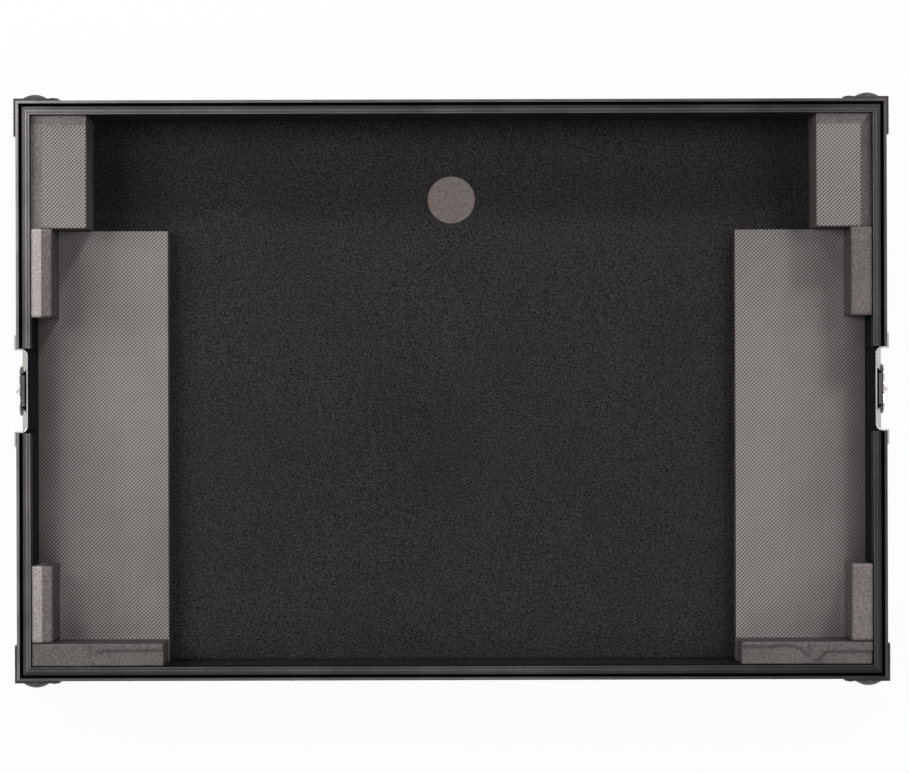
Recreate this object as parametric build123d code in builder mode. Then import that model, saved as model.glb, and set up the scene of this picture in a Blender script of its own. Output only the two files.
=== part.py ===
"""Base half of a flight case for a DJ controller, with its lid lifted off.

X runs along the case to the right, Y to the rear, Z up. The origin is in the middle of the floor that the
rubber feet stand on. Sizes are in millimetres.
"""

import os

from build123d import *

# Outside of the metalwork, and the depth from the rim's top to the felt floor
case_length = 780.0
case_width = 520.0
inner_depth = 78.0

# Sheet and board
panel_thickness = 9.0
metal_thickness = 1.5
felt_thickness = 1.5
shaft_clearance = 0.05
seat_clearance = 0.3
soft_clearance = 0.3

# Rim extrusion: a groove between two lips on top, and a slot for the wall panel below
rim_flange_drop = 22.0
rim_tongue_drop = 16.0
rim_outer_lip = 2.7
rim_groove_width = 4.4
rim_groove_depth = 5.5
rim_web = 1.5
rim_inner_overhang = 0.5
rim_ridge_count = 2
rim_ridge_width = 0.6
rim_ridge_depth = 0.5
rim_edge_chamfer = 0.4

# Edge angles along the bottom and up the corners
angle_leg = 22.0
angle_edge_radius = 1.0

# Ball corners and rim braces
ball_radius = 20.0
ball_inset = 7.0
ball_sheet = 1.5
leaf_radius = 38.0
brace_leg_along = 38.0
brace_leg_across = 32.0
brace_height = 18.0
brace_thickness = 2.0
brace_drop = 2.0

# Rivets, all of one kind on the case
rivet_head_radius = 4.0
rivet_head_height = 1.4
rivet_radius = 2.0
rivet_length = 8.0
ear_rivet_head_radius = 2.8
rivet_from_corner = 15.0
rivet_leaf_reach = 34.0
bottom_rivet_inset = 13.5
bottom_rivets_long = 6
bottom_rivets_short = 3
rim_rivets_long = 5
rim_rivet_drop = 14.0
rivet_row_margin = 100.0

# Rubber feet, with a steel washer and a screw sunk in each
foot_height = 20.0
foot_bottom_radius = 19.0
foot_top_radius = 17.0
foot_inset = 62.0
foot_sink_radius = 8.0
foot_sink_depth = 11.0
washer_radius = 7.5
washer_thickness = 1.5
screw_head_radius = 4.5
screw_head_height = 2.5
screw_head_edge = 0.8
screw_radius = 2.0
screw_grip = 8.0

# Round hole in the floor for the cables
cable_hole_radius = 22.0
cable_hole_from_rear = 73.0

# Foam
pad_width = 119.0
pad_height = 20.0
corner_block_length = 102.0
corner_block_width = 50.0
corner_block_height = 70.0
liner_thickness = 10.0
side_block_thickness = 20.0
side_block_layers = {"left": 2, "right": 1}
block_below_rim = 2.0
rear_side_block_length = 80.0
front_side_block_length = 69.5
front_block_depth = 21.5

# Twist latch dish in each side wall
dish_flange_width = 100.0
dish_flange_height = 66.0
dish_flange_thickness = 1.5
dish_flange_radius = 8.0
dish_sheet = 1.2
recess_width = 73.0
recess_height = 54.0
recess_radius = 5.0
dish_rivet_from_edge = 6.5
dish_bottom_rivets_apart = 36.5
dish_side_rivet_rise = 10.5

# Channel that guides the hook
channel_depth = 5.8
channel_foot_width = 38.0
channel_face_width = 31.0
channel_wall = 1.0
channel_ear = 6.0
channel_ear_height = 30.0
ear_rivets_apart = 20.0
channel_below_rim = 1.5

# Hook, hub and butterfly wings
layer_gap = 0.1
hook_width = 28.0
hook_thickness = 1.8
hook_below_rim = 1.0
hook_tail = 14.0
hook_tail_radius = 7.0
hook_lip_height = 4.0
hub_disc_radius = 9.0
hub_disc_thickness = 1.0
hub_shaft_radius = 4.0
cam_disc_radius = 6.8
cam_disc_thickness = 1.0
crank_throw = 4.5
crank_radius = 1.8
crank_slot_ease = 1.1
wing_radius = 22.5
wing_sweep_gap = 2.0
wing_half_height = 13.0
wing_waist_half_height = 8.5
wing_flare_start = 12.4
wing_thickness = 1.6
wing_edge_radius = 0.5
wing_root = 3.2
wing_pair_gap = 0.3
knuckle_radius = 2.4
knuckle_length = 3.8
hub_lug_half_length = 2.8
knuckle_gap = 0.3
knuckle_clearance = 0.2
pin_radius = 1.25

# Levels and places worked out from the sizes above
panel_low = foot_height
metal_low = panel_low - metal_thickness
wall_low = panel_low + panel_thickness
floor_top = wall_low + felt_thickness
rim_top = floor_top + inner_depth
rim_web_low = rim_top - rim_groove_depth - rim_web
rim_flange_low = rim_top - rim_flange_drop
rim_tongue_low = rim_top - rim_tongue_drop
wall_inset = metal_thickness + panel_thickness
inner_inset = wall_inset + felt_thickness
rim_inner_inset = inner_inset + rim_inner_overhang
half_length = case_length / 2
half_width = case_width / 2
inner_half_length = half_length - inner_inset
inner_half_width = half_width - inner_inset
pad_top = floor_top + pad_height
pad_rear = inner_half_width - corner_block_length - soft_clearance
block_top = rim_top - block_below_rim
front_block_rear = front_block_depth - inner_half_width
cable_hole_y = half_width - inner_inset - cable_hole_from_rear
foot_spots = [(x * (half_length - foot_inset), y * (half_width - foot_inset)) for x in (-1, 1) for y in (-1, 1)]

# Depths in a latch, measured outwards from the case's outer face
dish_back = -wall_inset + dish_sheet
channel_face = dish_back + channel_depth
channel_inside = channel_face - channel_wall
cam_outer = channel_inside - layer_gap
cam_inner = cam_outer - cam_disc_thickness
hook_outer = cam_inner - layer_gap
hook_inner = hook_outer - hook_thickness
hub_disc_inner = channel_face + layer_gap
hub_disc_outer = hub_disc_inner + hub_disc_thickness
pin_out = hub_disc_outer + knuckle_clearance + knuckle_radius
wing_outer = pin_out - wing_pair_gap
wing_inner = wing_outer - wing_thickness
dish_low = rim_top - dish_flange_height
recess_low = rim_top - recess_height
turn_height = recess_low + wing_radius + wing_sweep_gap
channel_top = rim_top - channel_below_rim
dish_half_opening = recess_width / 2 + dish_sheet

SIDES = {"front": (0, -1), "rear": (0, 1), "left": (-1, 0), "right": (1, 0)}
ENDS = {"left": -1, "right": 1}
DEPTHS = {"front": -1, "rear": 1}


def save(builder, name):
    """Labels a finished piece and writes its file."""
    builder.part.label = name
    export_step(builder.part, f"parts/{name}.step")


def across(side):
    """Distance from the middle of the case to the outer face of a side."""
    return half_width if side in DEPTHS else half_length


def along(side):
    """Half of the length that a side runs."""
    return half_length if side in DEPTHS else half_width


def side_plane(side):
    """Sketch plane across a side: its x runs inwards from the outer face, its y is the height."""
    out_x, out_y = SIDES[side]
    reach = across(side)
    return Plane(origin=(out_x * reach, out_y * reach, 0), x_dir=(-out_x, -out_y, 0), z_dir=(-out_y, out_x, 0))


def face_point(side, run, height):
    """Point on a side's outer face, run from the middle of the side along X or Y."""
    out_x, out_y = SIDES[side]
    reach = across(side)
    return (out_x * reach + abs(out_y) * run, out_y * reach + abs(out_x) * run, height)


def block(corner_a, corner_b, mode=Mode.ADD):
    """Box between two opposite corners, given in any order."""
    low = [min(a, b) for a, b in zip(corner_a, corner_b)]
    size = [abs(a - b) for a, b in zip(corner_a, corner_b)]
    with Locations(tuple(low)):
        Box(*size, align=(Align.MIN, Align.MIN, Align.MIN), mode=mode)


def bar(side, inset, thickness, low, high, half_run):
    """Straight slab along a side, from an inset of its outer face inwards."""
    with BuildSketch(side_plane(side)) as section:
        with Locations((inset + thickness / 2, (low + high) / 2)):
            Rectangle(thickness, high - low)
    extrude(section.sketch, amount=half_run, both=True)


def mitre(side, reach):
    """Keeps what lies between the upright 45 degree planes through the case's corners."""
    out_x, out_y = SIDES[side]
    corners = []
    for inset, sign in ((0, -1), (0, 1), (reach, 1), (reach, -1)):
        out = across(side) - inset
        run = sign * (along(side) - inset)
        corners.append((out_x * out + abs(out_y) * run, out_y * out + abs(out_x) * run))
    with BuildSketch(Plane.XY) as outline:
        with BuildLine():
            Polyline(*corners, close=True)
        make_face()
    extrude(outline.sketch, amount=rim_top, mode=Mode.INTERSECT)


def spread(half, count):
    """Evenly spaced places from -half to half."""
    return [half * (2 * i / (count - 1) - 1) for i in range(count)]


def drill(spots, radius=rivet_radius + shaft_clearance, depth=rivet_length + seat_clearance):
    """Cuts the rivet holes that lie in the piece being made."""
    for point, out, lift in spots:
        mouth = Vector(*point) + Vector(*out) * (lift + rivet_head_height)
        with Locations(Plane(origin=mouth, z_dir=Vector(*out) * -1)):
            Cylinder(
                radius,
                depth + rivet_head_height,
                align=(Align.CENTER, Align.CENTER, Align.MIN),
                mode=Mode.SUBTRACT,
            )


def rivet_places(side):
    """Rivets of one upright side, each as a point on its outer face, its outward direction and its lift."""
    out = (*SIDES[side], 0)
    long_side = side in DEPTHS
    end = along(side)
    bottom_height = metal_low + bottom_rivet_inset
    bottom_count = bottom_rivets_long if long_side else bottom_rivets_short
    places = [(run, bottom_height, 0) for run in spread(end - rivet_row_margin, bottom_count)]
    if long_side:
        rim_runs = spread(end - rivet_row_margin, rim_rivets_long)
    else:
        near = dish_flange_width / 2 + rivet_from_corner
        far = end - rivet_row_margin
        rim_runs = [-far, -near, near, far]
    places += [(run, rim_top - rim_rivet_drop, 0) for run in rim_runs]
    brace_leg = brace_leg_along if long_side else brace_leg_across
    brace_middle = rim_top - brace_drop - brace_height / 2
    upright_height = (metal_low + ball_inset + leaf_radius + rim_flange_low) / 2
    for sign in (-1, 1):
        places.append((sign * (end - rivet_from_corner), upright_height, 0))
        for inset in (rivet_from_corner, brace_leg - rivet_head_radius - metal_thickness):
            places.append((sign * (end - inset), brace_middle, brace_thickness))
        for inset, rise in ((rivet_from_corner, rivet_leaf_reach), (rivet_leaf_reach, rivet_from_corner)):
            places.append((sign * (end - inset), metal_low + rise, ball_sheet))
    return [(face_point(side, run, height), out, lift) for run, height, lift in places]


def underside_rivet_places():
    """Rivets up into the floor panel, through the bottom angles and the ball corners."""
    down = (0, 0, -1)
    places = []
    for sign in (-1, 1):
        for x in spread(half_length - rivet_row_margin, bottom_rivets_long):
            places.append(((x, sign * (half_width - bottom_rivet_inset), metal_low), down, 0))
        for y in spread(half_width - rivet_row_margin, bottom_rivets_short):
            places.append(((sign * (half_length - bottom_rivet_inset), y, metal_low), down, 0))
    for sign_x in (-1, 1):
        for sign_y in (-1, 1):
            for inset_x, inset_y in ((rivet_from_corner, rivet_leaf_reach), (rivet_leaf_reach, rivet_from_corner)):
                point = (sign_x * (half_length - inset_x), sign_y * (half_width - inset_y), metal_low)
                places.append((point, down, ball_sheet))
    return places


side_rivets = {side: rivet_places(side) for side in SIDES}
underside_rivets = underside_rivet_places()
all_rivets = [spot for side in SIDES for spot in side_rivets[side]] + underside_rivets


# Laminated plywood panels

def make_floor_panel():
    """Floor board under the walls, with the cable hole and the screw holes of the feet."""
    with BuildPart() as floor_panel:
        block(
            (metal_thickness - half_length, metal_thickness - half_width, panel_low),
            (half_length - metal_thickness, half_width - metal_thickness, wall_low),
        )
        with Locations((0, cable_hole_y, wall_low)):
            Hole(cable_hole_radius)
        with Locations(*[(x, y, wall_low) for x, y in foot_spots]):
            Hole(screw_radius + shaft_clearance)
        drill(underside_rivets)
    return floor_panel


def make_wall_panel(side):
    """Wall board: front and rear run the whole length, left and right fit between them."""
    end_inset = metal_thickness if side in DEPTHS else wall_inset
    with BuildPart() as panel:
        bar(side, metal_thickness, panel_thickness, wall_low, rim_web_low, along(side) - end_inset)
        if side in ENDS:
            out = ENDS[side]
            block(
                (out * half_length, -dish_half_opening - seat_clearance, recess_low - dish_sheet - seat_clearance),
                (out * inner_half_length, dish_half_opening + seat_clearance, rim_top),
                mode=Mode.SUBTRACT,
            )
            drill(latch_flange_rivets(side))
        drill(side_rivets[side])
    return panel


# Black anodised aluminium

def rim_section(side):
    """Section of the rim extrusion: outer flange, two lips with the groove between them, and the panel slot."""
    groove_inner = rim_outer_lip + rim_groove_width
    groove_low = rim_top - rim_groove_depth
    ridge_low = rim_top - rim_ridge_depth
    points = [
        (0, rim_flange_low),
        (0, rim_top - rim_edge_chamfer),
        (rim_edge_chamfer, rim_top),
        (rim_outer_lip, rim_top),
        (rim_outer_lip, groove_low),
        (groove_inner, groove_low),
        (groove_inner, rim_top),
    ]
    lip_width = rim_inner_inset - groove_inner
    for i in range(rim_ridge_count):
        start = groove_inner + lip_width * (i + 1) / (rim_ridge_count + 1) - rim_ridge_width / 2
        points += [(start, rim_top), (start, ridge_low)]
        points += [(start + rim_ridge_width, ridge_low), (start + rim_ridge_width, rim_top)]
    points += [
        (rim_inner_inset - rim_edge_chamfer, rim_top),
        (rim_inner_inset, rim_top - rim_edge_chamfer),
        (rim_inner_inset, rim_tongue_low),
        (wall_inset, rim_tongue_low),
        (wall_inset, rim_web_low),
        (metal_thickness, rim_web_low),
        (metal_thickness, rim_flange_low),
    ]
    with BuildSketch(side_plane(side)) as section:
        with BuildLine():
            Polyline(*points, close=True)
        make_face()
    return section


def make_rim(side, part_of_side=None):
    """Rim extrusion of one side, or on a latch side its length in front of or behind the latch."""
    with BuildPart() as rim:
        extrude(rim_section(side).sketch, amount=along(side), both=True)
        mitre(side, rim_inner_inset)
        if part_of_side:
            sign = DEPTHS[part_of_side]
            cut_from = sign * (dish_half_opening + seat_clearance)
            block((-half_length, cut_from, 0), (half_length, -sign * half_width, rim_top), mode=Mode.SUBTRACT)
        drill(side_rivets[side])
    return rim


def make_bottom_angle(side):
    """Angle along a bottom edge, mitred at both ends."""
    with BuildPart() as angle:
        with BuildSketch(side_plane(side)) as section:
            with BuildLine():
                Polyline(
                    (0, metal_low),
                    (angle_leg, metal_low),
                    (angle_leg, panel_low),
                    (metal_thickness, panel_low),
                    (metal_thickness, metal_low + angle_leg),
                    (0, metal_low + angle_leg),
                    close=True,
                )
            make_face()
            fillet(section.vertices().sort_by(lambda v: v.X + v.Y)[0], angle_edge_radius)
        extrude(amount=along(side), both=True)
        mitre(side, angle_leg)
        drill(side_rivets[side] + underside_rivets)
    return angle


def make_corner_angle(end, depth):
    """Angle up one corner, from the bottom angles to the flange of the rim."""
    x = ENDS[end] * half_length
    y = DEPTHS[depth] * half_width
    inner_x = x - ENDS[end] * angle_leg
    inner_y = y - DEPTHS[depth] * angle_leg
    with BuildPart() as angle:
        block((x, y, metal_low + angle_leg), (inner_x, inner_y, rim_flange_low))
        block(
            (x - ENDS[end] * metal_thickness, y - DEPTHS[depth] * metal_thickness, metal_low),
            (inner_x, inner_y, rim_top),
            mode=Mode.SUBTRACT,
        )
        outer_edge = angle.edges().filter_by(Axis.Z).sort_by_distance((x, y, rim_flange_low))[0]
        fillet(outer_edge, angle_edge_radius)
        drill(side_rivets[end] + side_rivets[depth])
    return angle


# Pressed steel corners

def make_ball_corner(end, depth):
    """Hollow ball with a round leaf riveted on each of the three faces that meet at a bottom corner."""
    sign_x = ENDS[end]
    sign_y = DEPTHS[depth]
    x = sign_x * half_length
    y = sign_y * half_width
    centre = (x - sign_x * ball_inset, y - sign_y * ball_inset, metal_low + ball_inset)
    leaf_reach = ball_inset + leaf_radius
    inner = (x - sign_x * leaf_reach, y - sign_y * leaf_reach, metal_low + leaf_reach)
    with BuildPart() as corner:
        with Locations(centre):
            Sphere(leaf_radius)
        block((x + sign_x * ball_sheet, y + sign_y * ball_sheet, metal_low - ball_sheet), inner, mode=Mode.INTERSECT)
        with Locations(centre):
            Sphere(ball_radius)
            Sphere(ball_radius - ball_sheet, mode=Mode.SUBTRACT)
        block((x, y, metal_low), inner, mode=Mode.SUBTRACT)
        drill(side_rivets[end] + side_rivets[depth] + underside_rivets)
    return corner


def make_rim_braces():
    """Four flat L-shaped braces that hold the mitred rim together."""
    high = rim_top - brace_drop
    low = high - brace_height
    with BuildPart() as braces:
        for sign_x in ENDS.values():
            for sign_y in DEPTHS.values():
                x = sign_x * half_length
                y = sign_y * half_width
                block(
                    (x + sign_x * brace_thickness, y + sign_y * brace_thickness, low),
                    (x - sign_x * brace_leg_along, y - sign_y * brace_leg_across, high),
                )
        block((-half_length, -half_width, low), (half_length, half_width, high), mode=Mode.SUBTRACT)
        for side in SIDES:
            drill(side_rivets[side])
    return braces


# Fasteners and feet

def make_rivet(head_radius, length):
    """One domed rivet with its head on +Z and its shank below."""
    with BuildPart() as rivet:
        with BuildSketch(Plane.XZ):
            with BuildLine():
                crown = TangentArc((0, rivet_head_height), (head_radius, 0), tangent=(1, 0))
                Polyline(crown @ 1, (rivet_radius, 0), (rivet_radius, -length), (0, -length), crown @ 0)
            make_face()
        revolve(axis=Axis.Z)
    return rivet


def rivet_seats(spots):
    """Planes on which the rivets' heads sit."""
    return [Plane(origin=Vector(*point) + Vector(*out) * lift, z_dir=out) for point, out, lift in spots]


def make_case_rivets():
    """The rivets of the angles, the rim, the braces and the ball corners, all alike."""
    rivet = make_rivet(rivet_head_radius, rivet_length)
    with BuildPart() as rivets:
        with Locations(*rivet_seats(all_rivets)):
            add(rivet.part)
    return rivets


def make_latch_rivets():
    """The rivets of both latches: long ones in the flanges and short ones in the channels' ears."""
    flange_rivet = make_rivet(rivet_head_radius, rivet_length)
    ear_rivet = make_rivet(ear_rivet_head_radius, channel_wall + dish_sheet)
    with BuildPart() as rivets:
        for end in ENDS:
            with Locations(*rivet_seats(latch_flange_rivets(end))):
                add(flange_rivet.part)
            with Locations(*rivet_seats(channel_ear_rivets(end))):
                add(ear_rivet.part)
    return rivets


def make_rubber_feet():
    """Four tapered rubber feet, each with a sunk hole for its washer and screw."""
    with BuildPart() as feet:
        with Locations(*[(x, y, 0) for x, y in foot_spots]):
            Cone(foot_bottom_radius, foot_top_radius, foot_height, align=(Align.CENTER, Align.CENTER, Align.MIN))
        with Locations(*[(x, y, foot_sink_depth) for x, y in foot_spots]):
            Cylinder(
                foot_sink_radius,
                foot_sink_depth,
                align=(Align.CENTER, Align.CENTER, Align.MAX),
                mode=Mode.SUBTRACT,
            )
        with Locations(*[(x, y, foot_height) for x, y in foot_spots]):
            Hole(screw_radius + shaft_clearance)
    return feet


def make_foot_washers():
    """Steel washers at the top of the feet's sunk holes."""
    with BuildPart() as washers:
        with Locations(*[(x, y, foot_sink_depth) for x, y in foot_spots]):
            Cylinder(washer_radius, washer_thickness, align=(Align.CENTER, Align.CENTER, Align.MAX))
            Hole(screw_radius + shaft_clearance)
    return washers


def make_foot_screws():
    """Pan head screws that hold the feet to the floor panel."""
    head_top = foot_sink_depth - washer_thickness
    shank = foot_height - head_top + screw_grip
    with BuildPart() as screws:
        with Locations(*[(x, y, head_top) for x, y in foot_spots]):
            Cylinder(screw_head_radius, screw_head_height, align=(Align.CENTER, Align.CENTER, Align.MAX))
            Cylinder(screw_radius, shank, align=(Align.CENTER, Align.CENTER, Align.MIN))
        fillet(screws.edges().group_by(Axis.Z)[0], screw_head_edge)
    return screws


# Felt

def make_floor_felt():
    """Felt on the floor, between the felts of the walls."""
    with BuildPart() as felt:
        block((-inner_half_length, -inner_half_width, wall_low), (inner_half_length, inner_half_width, floor_top))
        with Locations((0, cable_hole_y, floor_top)):
            Hole(cable_hole_radius)
    return felt


def make_wall_felt(side):
    """Felt on a wall, up to the tongue of the rim, and higher where it backs a latch dish."""
    end_inset = wall_inset if side in DEPTHS else inner_inset
    with BuildPart() as felt:
        bar(side, wall_inset, felt_thickness, wall_low, rim_tongue_low, along(side) - end_inset)
        if side in ENDS:
            bar(side, wall_inset, felt_thickness, wall_low, channel_top, dish_half_opening)
    return felt


# Foam

def make_pad(end):
    """Low pad under one end of the controller."""
    out = ENDS[end]
    with BuildPart() as pad:
        block(
            (out * (inner_half_length - soft_clearance), soft_clearance - inner_half_width, floor_top),
            (out * (inner_half_length - pad_width), pad_rear, pad_top),
        )
    return pad


def make_corner_block(end):
    """Tall block in a rear corner, inside its liner."""
    out = ENDS[end]
    lined = liner_thickness + soft_clearance
    with BuildPart() as corner_block:
        block(
            (out * (inner_half_length - lined), inner_half_width - lined, floor_top),
            (
                out * (inner_half_length - corner_block_width),
                inner_half_width - corner_block_length,
                floor_top + corner_block_height,
            ),
        )
    return corner_block


def make_corner_liner(end):
    """Two smooth strips, mitred together, between a corner block and the walls."""
    out = ENDS[end]
    wall_x = inner_half_length - rim_inner_overhang - soft_clearance
    wall_y = inner_half_width - rim_inner_overhang - soft_clearance
    inner_x = inner_half_length - liner_thickness
    inner_y = inner_half_width - liner_thickness
    end_x = inner_half_length - corner_block_width
    end_y = inner_half_width - corner_block_length
    strips = (
        ((wall_x, wall_y), (inner_x, inner_y), (inner_x, end_y), (wall_x, end_y)),
        ((wall_x, wall_y), (end_x, wall_y), (end_x, inner_y), (inner_x, inner_y)),
    )
    with BuildPart() as liner:
        for strip in strips:
            with BuildSketch(Plane.XY.offset(floor_top)):
                with BuildLine():
                    Polyline(*[(out * x, y) for x, y in strip], close=True)
                make_face()
            extrude(amount=corner_block_height)
    return liner


def make_side_block(end, depth):
    """Smooth block on a pad, against the side wall."""
    out = ENDS[end]
    top = block_top
    if depth == "rear":
        span = (pad_rear, pad_rear - rear_side_block_length)
    else:
        start = front_block_rear + soft_clearance
        span = (start, start + front_side_block_length)
    count = side_block_layers[end]
    wall_x = inner_half_length - rim_inner_overhang
    layer = (wall_x - (inner_half_length - side_block_thickness)) / count
    with BuildPart() as side_block:
        for i in range(count):
            outer_x = wall_x - layer * i
            block(
                (out * (outer_x - soft_clearance), span[0], pad_top),
                (out * (outer_x - layer), span[1], top),
            )
    return side_block


def make_front_block(end):
    """Smooth block on a pad, along the front wall."""
    out = ENDS[end]
    gap = rim_inner_overhang + soft_clearance
    with BuildPart() as front_block:
        block(
            (out * (inner_half_length - gap), gap - inner_half_width, pad_top),
            (out * (inner_half_length - pad_width), front_block_rear, block_top),
        )
    return front_block


# Twist latches

def latch_plane(end, out):
    """Sketch plane parallel to a side wall, out from its outer face: local y is the height."""
    sign = ENDS[end]
    return Plane(origin=(sign * (half_length + out), 0, 0), x_dir=(0, sign, 0), z_dir=(sign, 0, 0))


def latch_flange_rivets(end):
    """Rivets through the flange of a dish into the wall panel."""
    run = dish_flange_width / 2 - dish_rivet_from_edge
    upper = rim_flange_low - rivet_head_radius - dish_sheet
    lower = dish_low + dish_side_rivet_rise
    bottom = dish_low + dish_rivet_from_edge - dish_sheet
    places = [(sign * run, height) for sign in (-1, 1) for height in (upper, lower)]
    places += [(sign * dish_bottom_rivets_apart / 2, bottom) for sign in (-1, 1)]
    out = (*SIDES[end], 0)
    return [(face_point(end, y, z), out, dish_flange_thickness) for y, z in places]


def channel_ear_rivets(end):
    """Rivets through the ears of the hook channel into the back of the dish."""
    run = channel_foot_width / 2 + channel_ear / 2
    heights = (turn_height - ear_rivets_apart / 2, turn_height + ear_rivets_apart / 2)
    out = (*SIDES[end], 0)
    lift = dish_back + channel_wall
    return [(face_point(end, sign * run, z), out, lift) for sign in (-1, 1) for z in heights]


def plan_pan(end, half_span, back, low, high, radius, mode=Mode.ADD):
    """Upright trough, open on the outside, whose two back corners are rounded."""
    sign = ENDS[end]
    outer_x = sign * (half_length + dish_flange_thickness)
    back_x = sign * (half_length + back)
    with BuildSketch(Plane.XY.offset(low)) as plan:
        with BuildLine():
            Polyline(
                (outer_x, -half_span),
                (back_x, -half_span),
                (back_x, half_span),
                (outer_x, half_span),
                close=True,
            )
        make_face()
        back_corners = plan.vertices().group_by(Axis.X)[0 if sign > 0 else -1]
        fillet(back_corners, radius)
    extrude(plan.sketch, amount=high - low, mode=mode)


def make_latch_dish(end):
    """Pressed dish: a pan let into the wall, open at the rim, with a riveted flange round it."""
    flange_middle = dish_low + dish_flange_height / 2
    lip_high = rim_flange_low - seat_clearance
    half_flange = dish_flange_width / 2
    with BuildPart() as dish:
        with BuildSketch(latch_plane(end, -metal_thickness)) as flange:
            with Locations((0, flange_middle)):
                Rectangle(dish_flange_width, dish_flange_height)
            fillet(flange.vertices().group_by(Axis.Y)[0], dish_flange_radius)
        extrude(amount=metal_thickness + dish_flange_thickness)
        with BuildSketch(latch_plane(end, -metal_thickness)) as under_flange:
            add(flange.sketch_local)
            offset(amount=-metal_thickness, kind=Kind.INTERSECTION)
        extrude(amount=metal_thickness, mode=Mode.SUBTRACT)
        block(
            (ENDS[end] * (half_length - metal_thickness), -half_flange, lip_high),
            (ENDS[end] * half_length, half_flange, rim_top),
            mode=Mode.SUBTRACT,
        )
        outer_radius = recess_radius + dish_sheet
        plan_pan(end, dish_half_opening, -wall_inset, recess_low - dish_sheet, rim_top, outer_radius)
        plan_pan(end, recess_width / 2, dish_back, recess_low, rim_top, recess_radius, mode=Mode.SUBTRACT)
        drill(latch_flange_rivets(end) + channel_ear_rivets(end))
    return dish


def make_latch_channel(end):
    """Black pressed channel on the back of the dish, with two riveted ears, in which the hook slides."""
    sign = ENDS[end]
    back_x = sign * (half_length + dish_back)
    face_x = sign * (half_length + channel_face)
    inside_x = sign * (half_length + channel_inside)
    foot = channel_foot_width / 2
    face = channel_face_width / 2
    low = recess_low + dish_sheet
    with BuildPart() as channel:
        with BuildSketch(Plane.XY.offset(low)):
            with BuildLine():
                Polyline((back_x, -foot), (face_x, -face), (face_x, face), (back_x, foot), close=True)
            make_face()
        extrude(amount=channel_top - low)
        with BuildSketch(Plane.XY.offset(low)):
            with BuildLine():
                Polyline(
                    (back_x, channel_wall - foot),
                    (inside_x, channel_wall - face),
                    (inside_x, face - channel_wall),
                    (back_x, foot - channel_wall),
                    close=True,
                )
            make_face()
        extrude(amount=channel_top - low, mode=Mode.SUBTRACT)
        for ear_sign in (-1, 1):
            block(
                (back_x, ear_sign * (foot - channel_wall), turn_height - channel_ear_height / 2),
                (
                    back_x + sign * channel_wall,
                    ear_sign * (foot + channel_ear),
                    turn_height + channel_ear_height / 2,
                ),
            )
        with Locations(latch_plane(end, channel_face).shift_origin((face_x, 0, turn_height))):
            Hole(hub_shaft_radius + shaft_clearance)
        drill(channel_ear_rivets(end))
    return channel


def make_latch_hook(end):
    """Flat hook plate with a cross slot for the crank and a thick catching lip at its top."""
    top = rim_top - hook_below_rim
    low = turn_height - hook_tail
    slot_length = 2 * (crank_throw + crank_radius + seat_clearance)
    slot_height = 2 * (crank_radius + crank_slot_ease)
    with BuildPart() as hook:
        with BuildSketch(latch_plane(end, hook_inner)) as plate:
            with Locations((0, (low + top) / 2)):
                Rectangle(hook_width, top - low)
            fillet(plate.vertices().group_by(Axis.Y)[0], hook_tail_radius)
            with Locations((0, turn_height - crank_throw)):
                SlotOverall(slot_length, slot_height, mode=Mode.SUBTRACT)
        extrude(amount=hook_thickness)
        block(
            (ENDS[end] * (half_length + hook_inner), -hook_width / 2, top - hook_lip_height),
            (ENDS[end] * (half_length + cam_outer), hook_width / 2, top),
        )
    return hook


def make_latch_hub(end):
    """Turning hub: a disc and the lug for the wings outside, a shaft, and the crank inside the channel."""
    sign = ENDS[end]
    lug_x = sign * (half_length + pin_out)
    with BuildPart() as hub:
        stack = (
            (hub_disc_inner, hub_disc_outer, hub_disc_radius, 0),
            (cam_outer - layer_gap, hub_disc_outer, hub_shaft_radius, 0),
            (cam_inner, cam_outer, cam_disc_radius, 0),
            (hook_inner - seat_clearance, cam_outer, crank_radius, -crank_throw),
        )
        for inner, outer, radius, rise in stack:
            with BuildSketch(latch_plane(end, inner)):
                with Locations((0, turn_height + rise)):
                    Circle(radius)
            extrude(amount=outer - inner)
        lug_low = turn_height - hub_lug_half_length
        lug_high = turn_height + hub_lug_half_length
        block(
            (sign * (half_length + hub_disc_inner), -knuckle_radius, lug_low),
            (lug_x, knuckle_radius, lug_high),
        )
        upright_tube(lug_x, knuckle_radius, lug_low, lug_high)
        upright_tube(lug_x, pin_radius + shaft_clearance, lug_low, lug_high, mode=Mode.SUBTRACT)
    return hub


def upright_tube(x, radius, low, high, mode=Mode.ADD):
    """Upright cylinder on the hinge line of a latch."""
    with Locations((x, 0, low)):
        Cylinder(radius, high - low, align=(Align.CENTER, Align.CENTER, Align.MIN), mode=mode)


def knuckle_spans(depth):
    """Lower and upper heights of a wing's two knuckles, above and below the hub's lug."""
    start = hub_lug_half_length + knuckle_gap
    if depth == "rear":
        start += knuckle_length + knuckle_gap
    return [
        (turn_height + start, turn_height + start + knuckle_length),
        (turn_height - start - knuckle_length, turn_height - start),
    ]


def make_latch_pin(end):
    """Hinge pin of the two wings, through the hub's lug."""
    half = knuckle_spans("rear")[0][1] - turn_height
    with BuildPart() as pin:
        upright_tube(ENDS[end] * (half_length + pin_out), pin_radius, turn_height - half, turn_height + half)
    return pin


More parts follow.
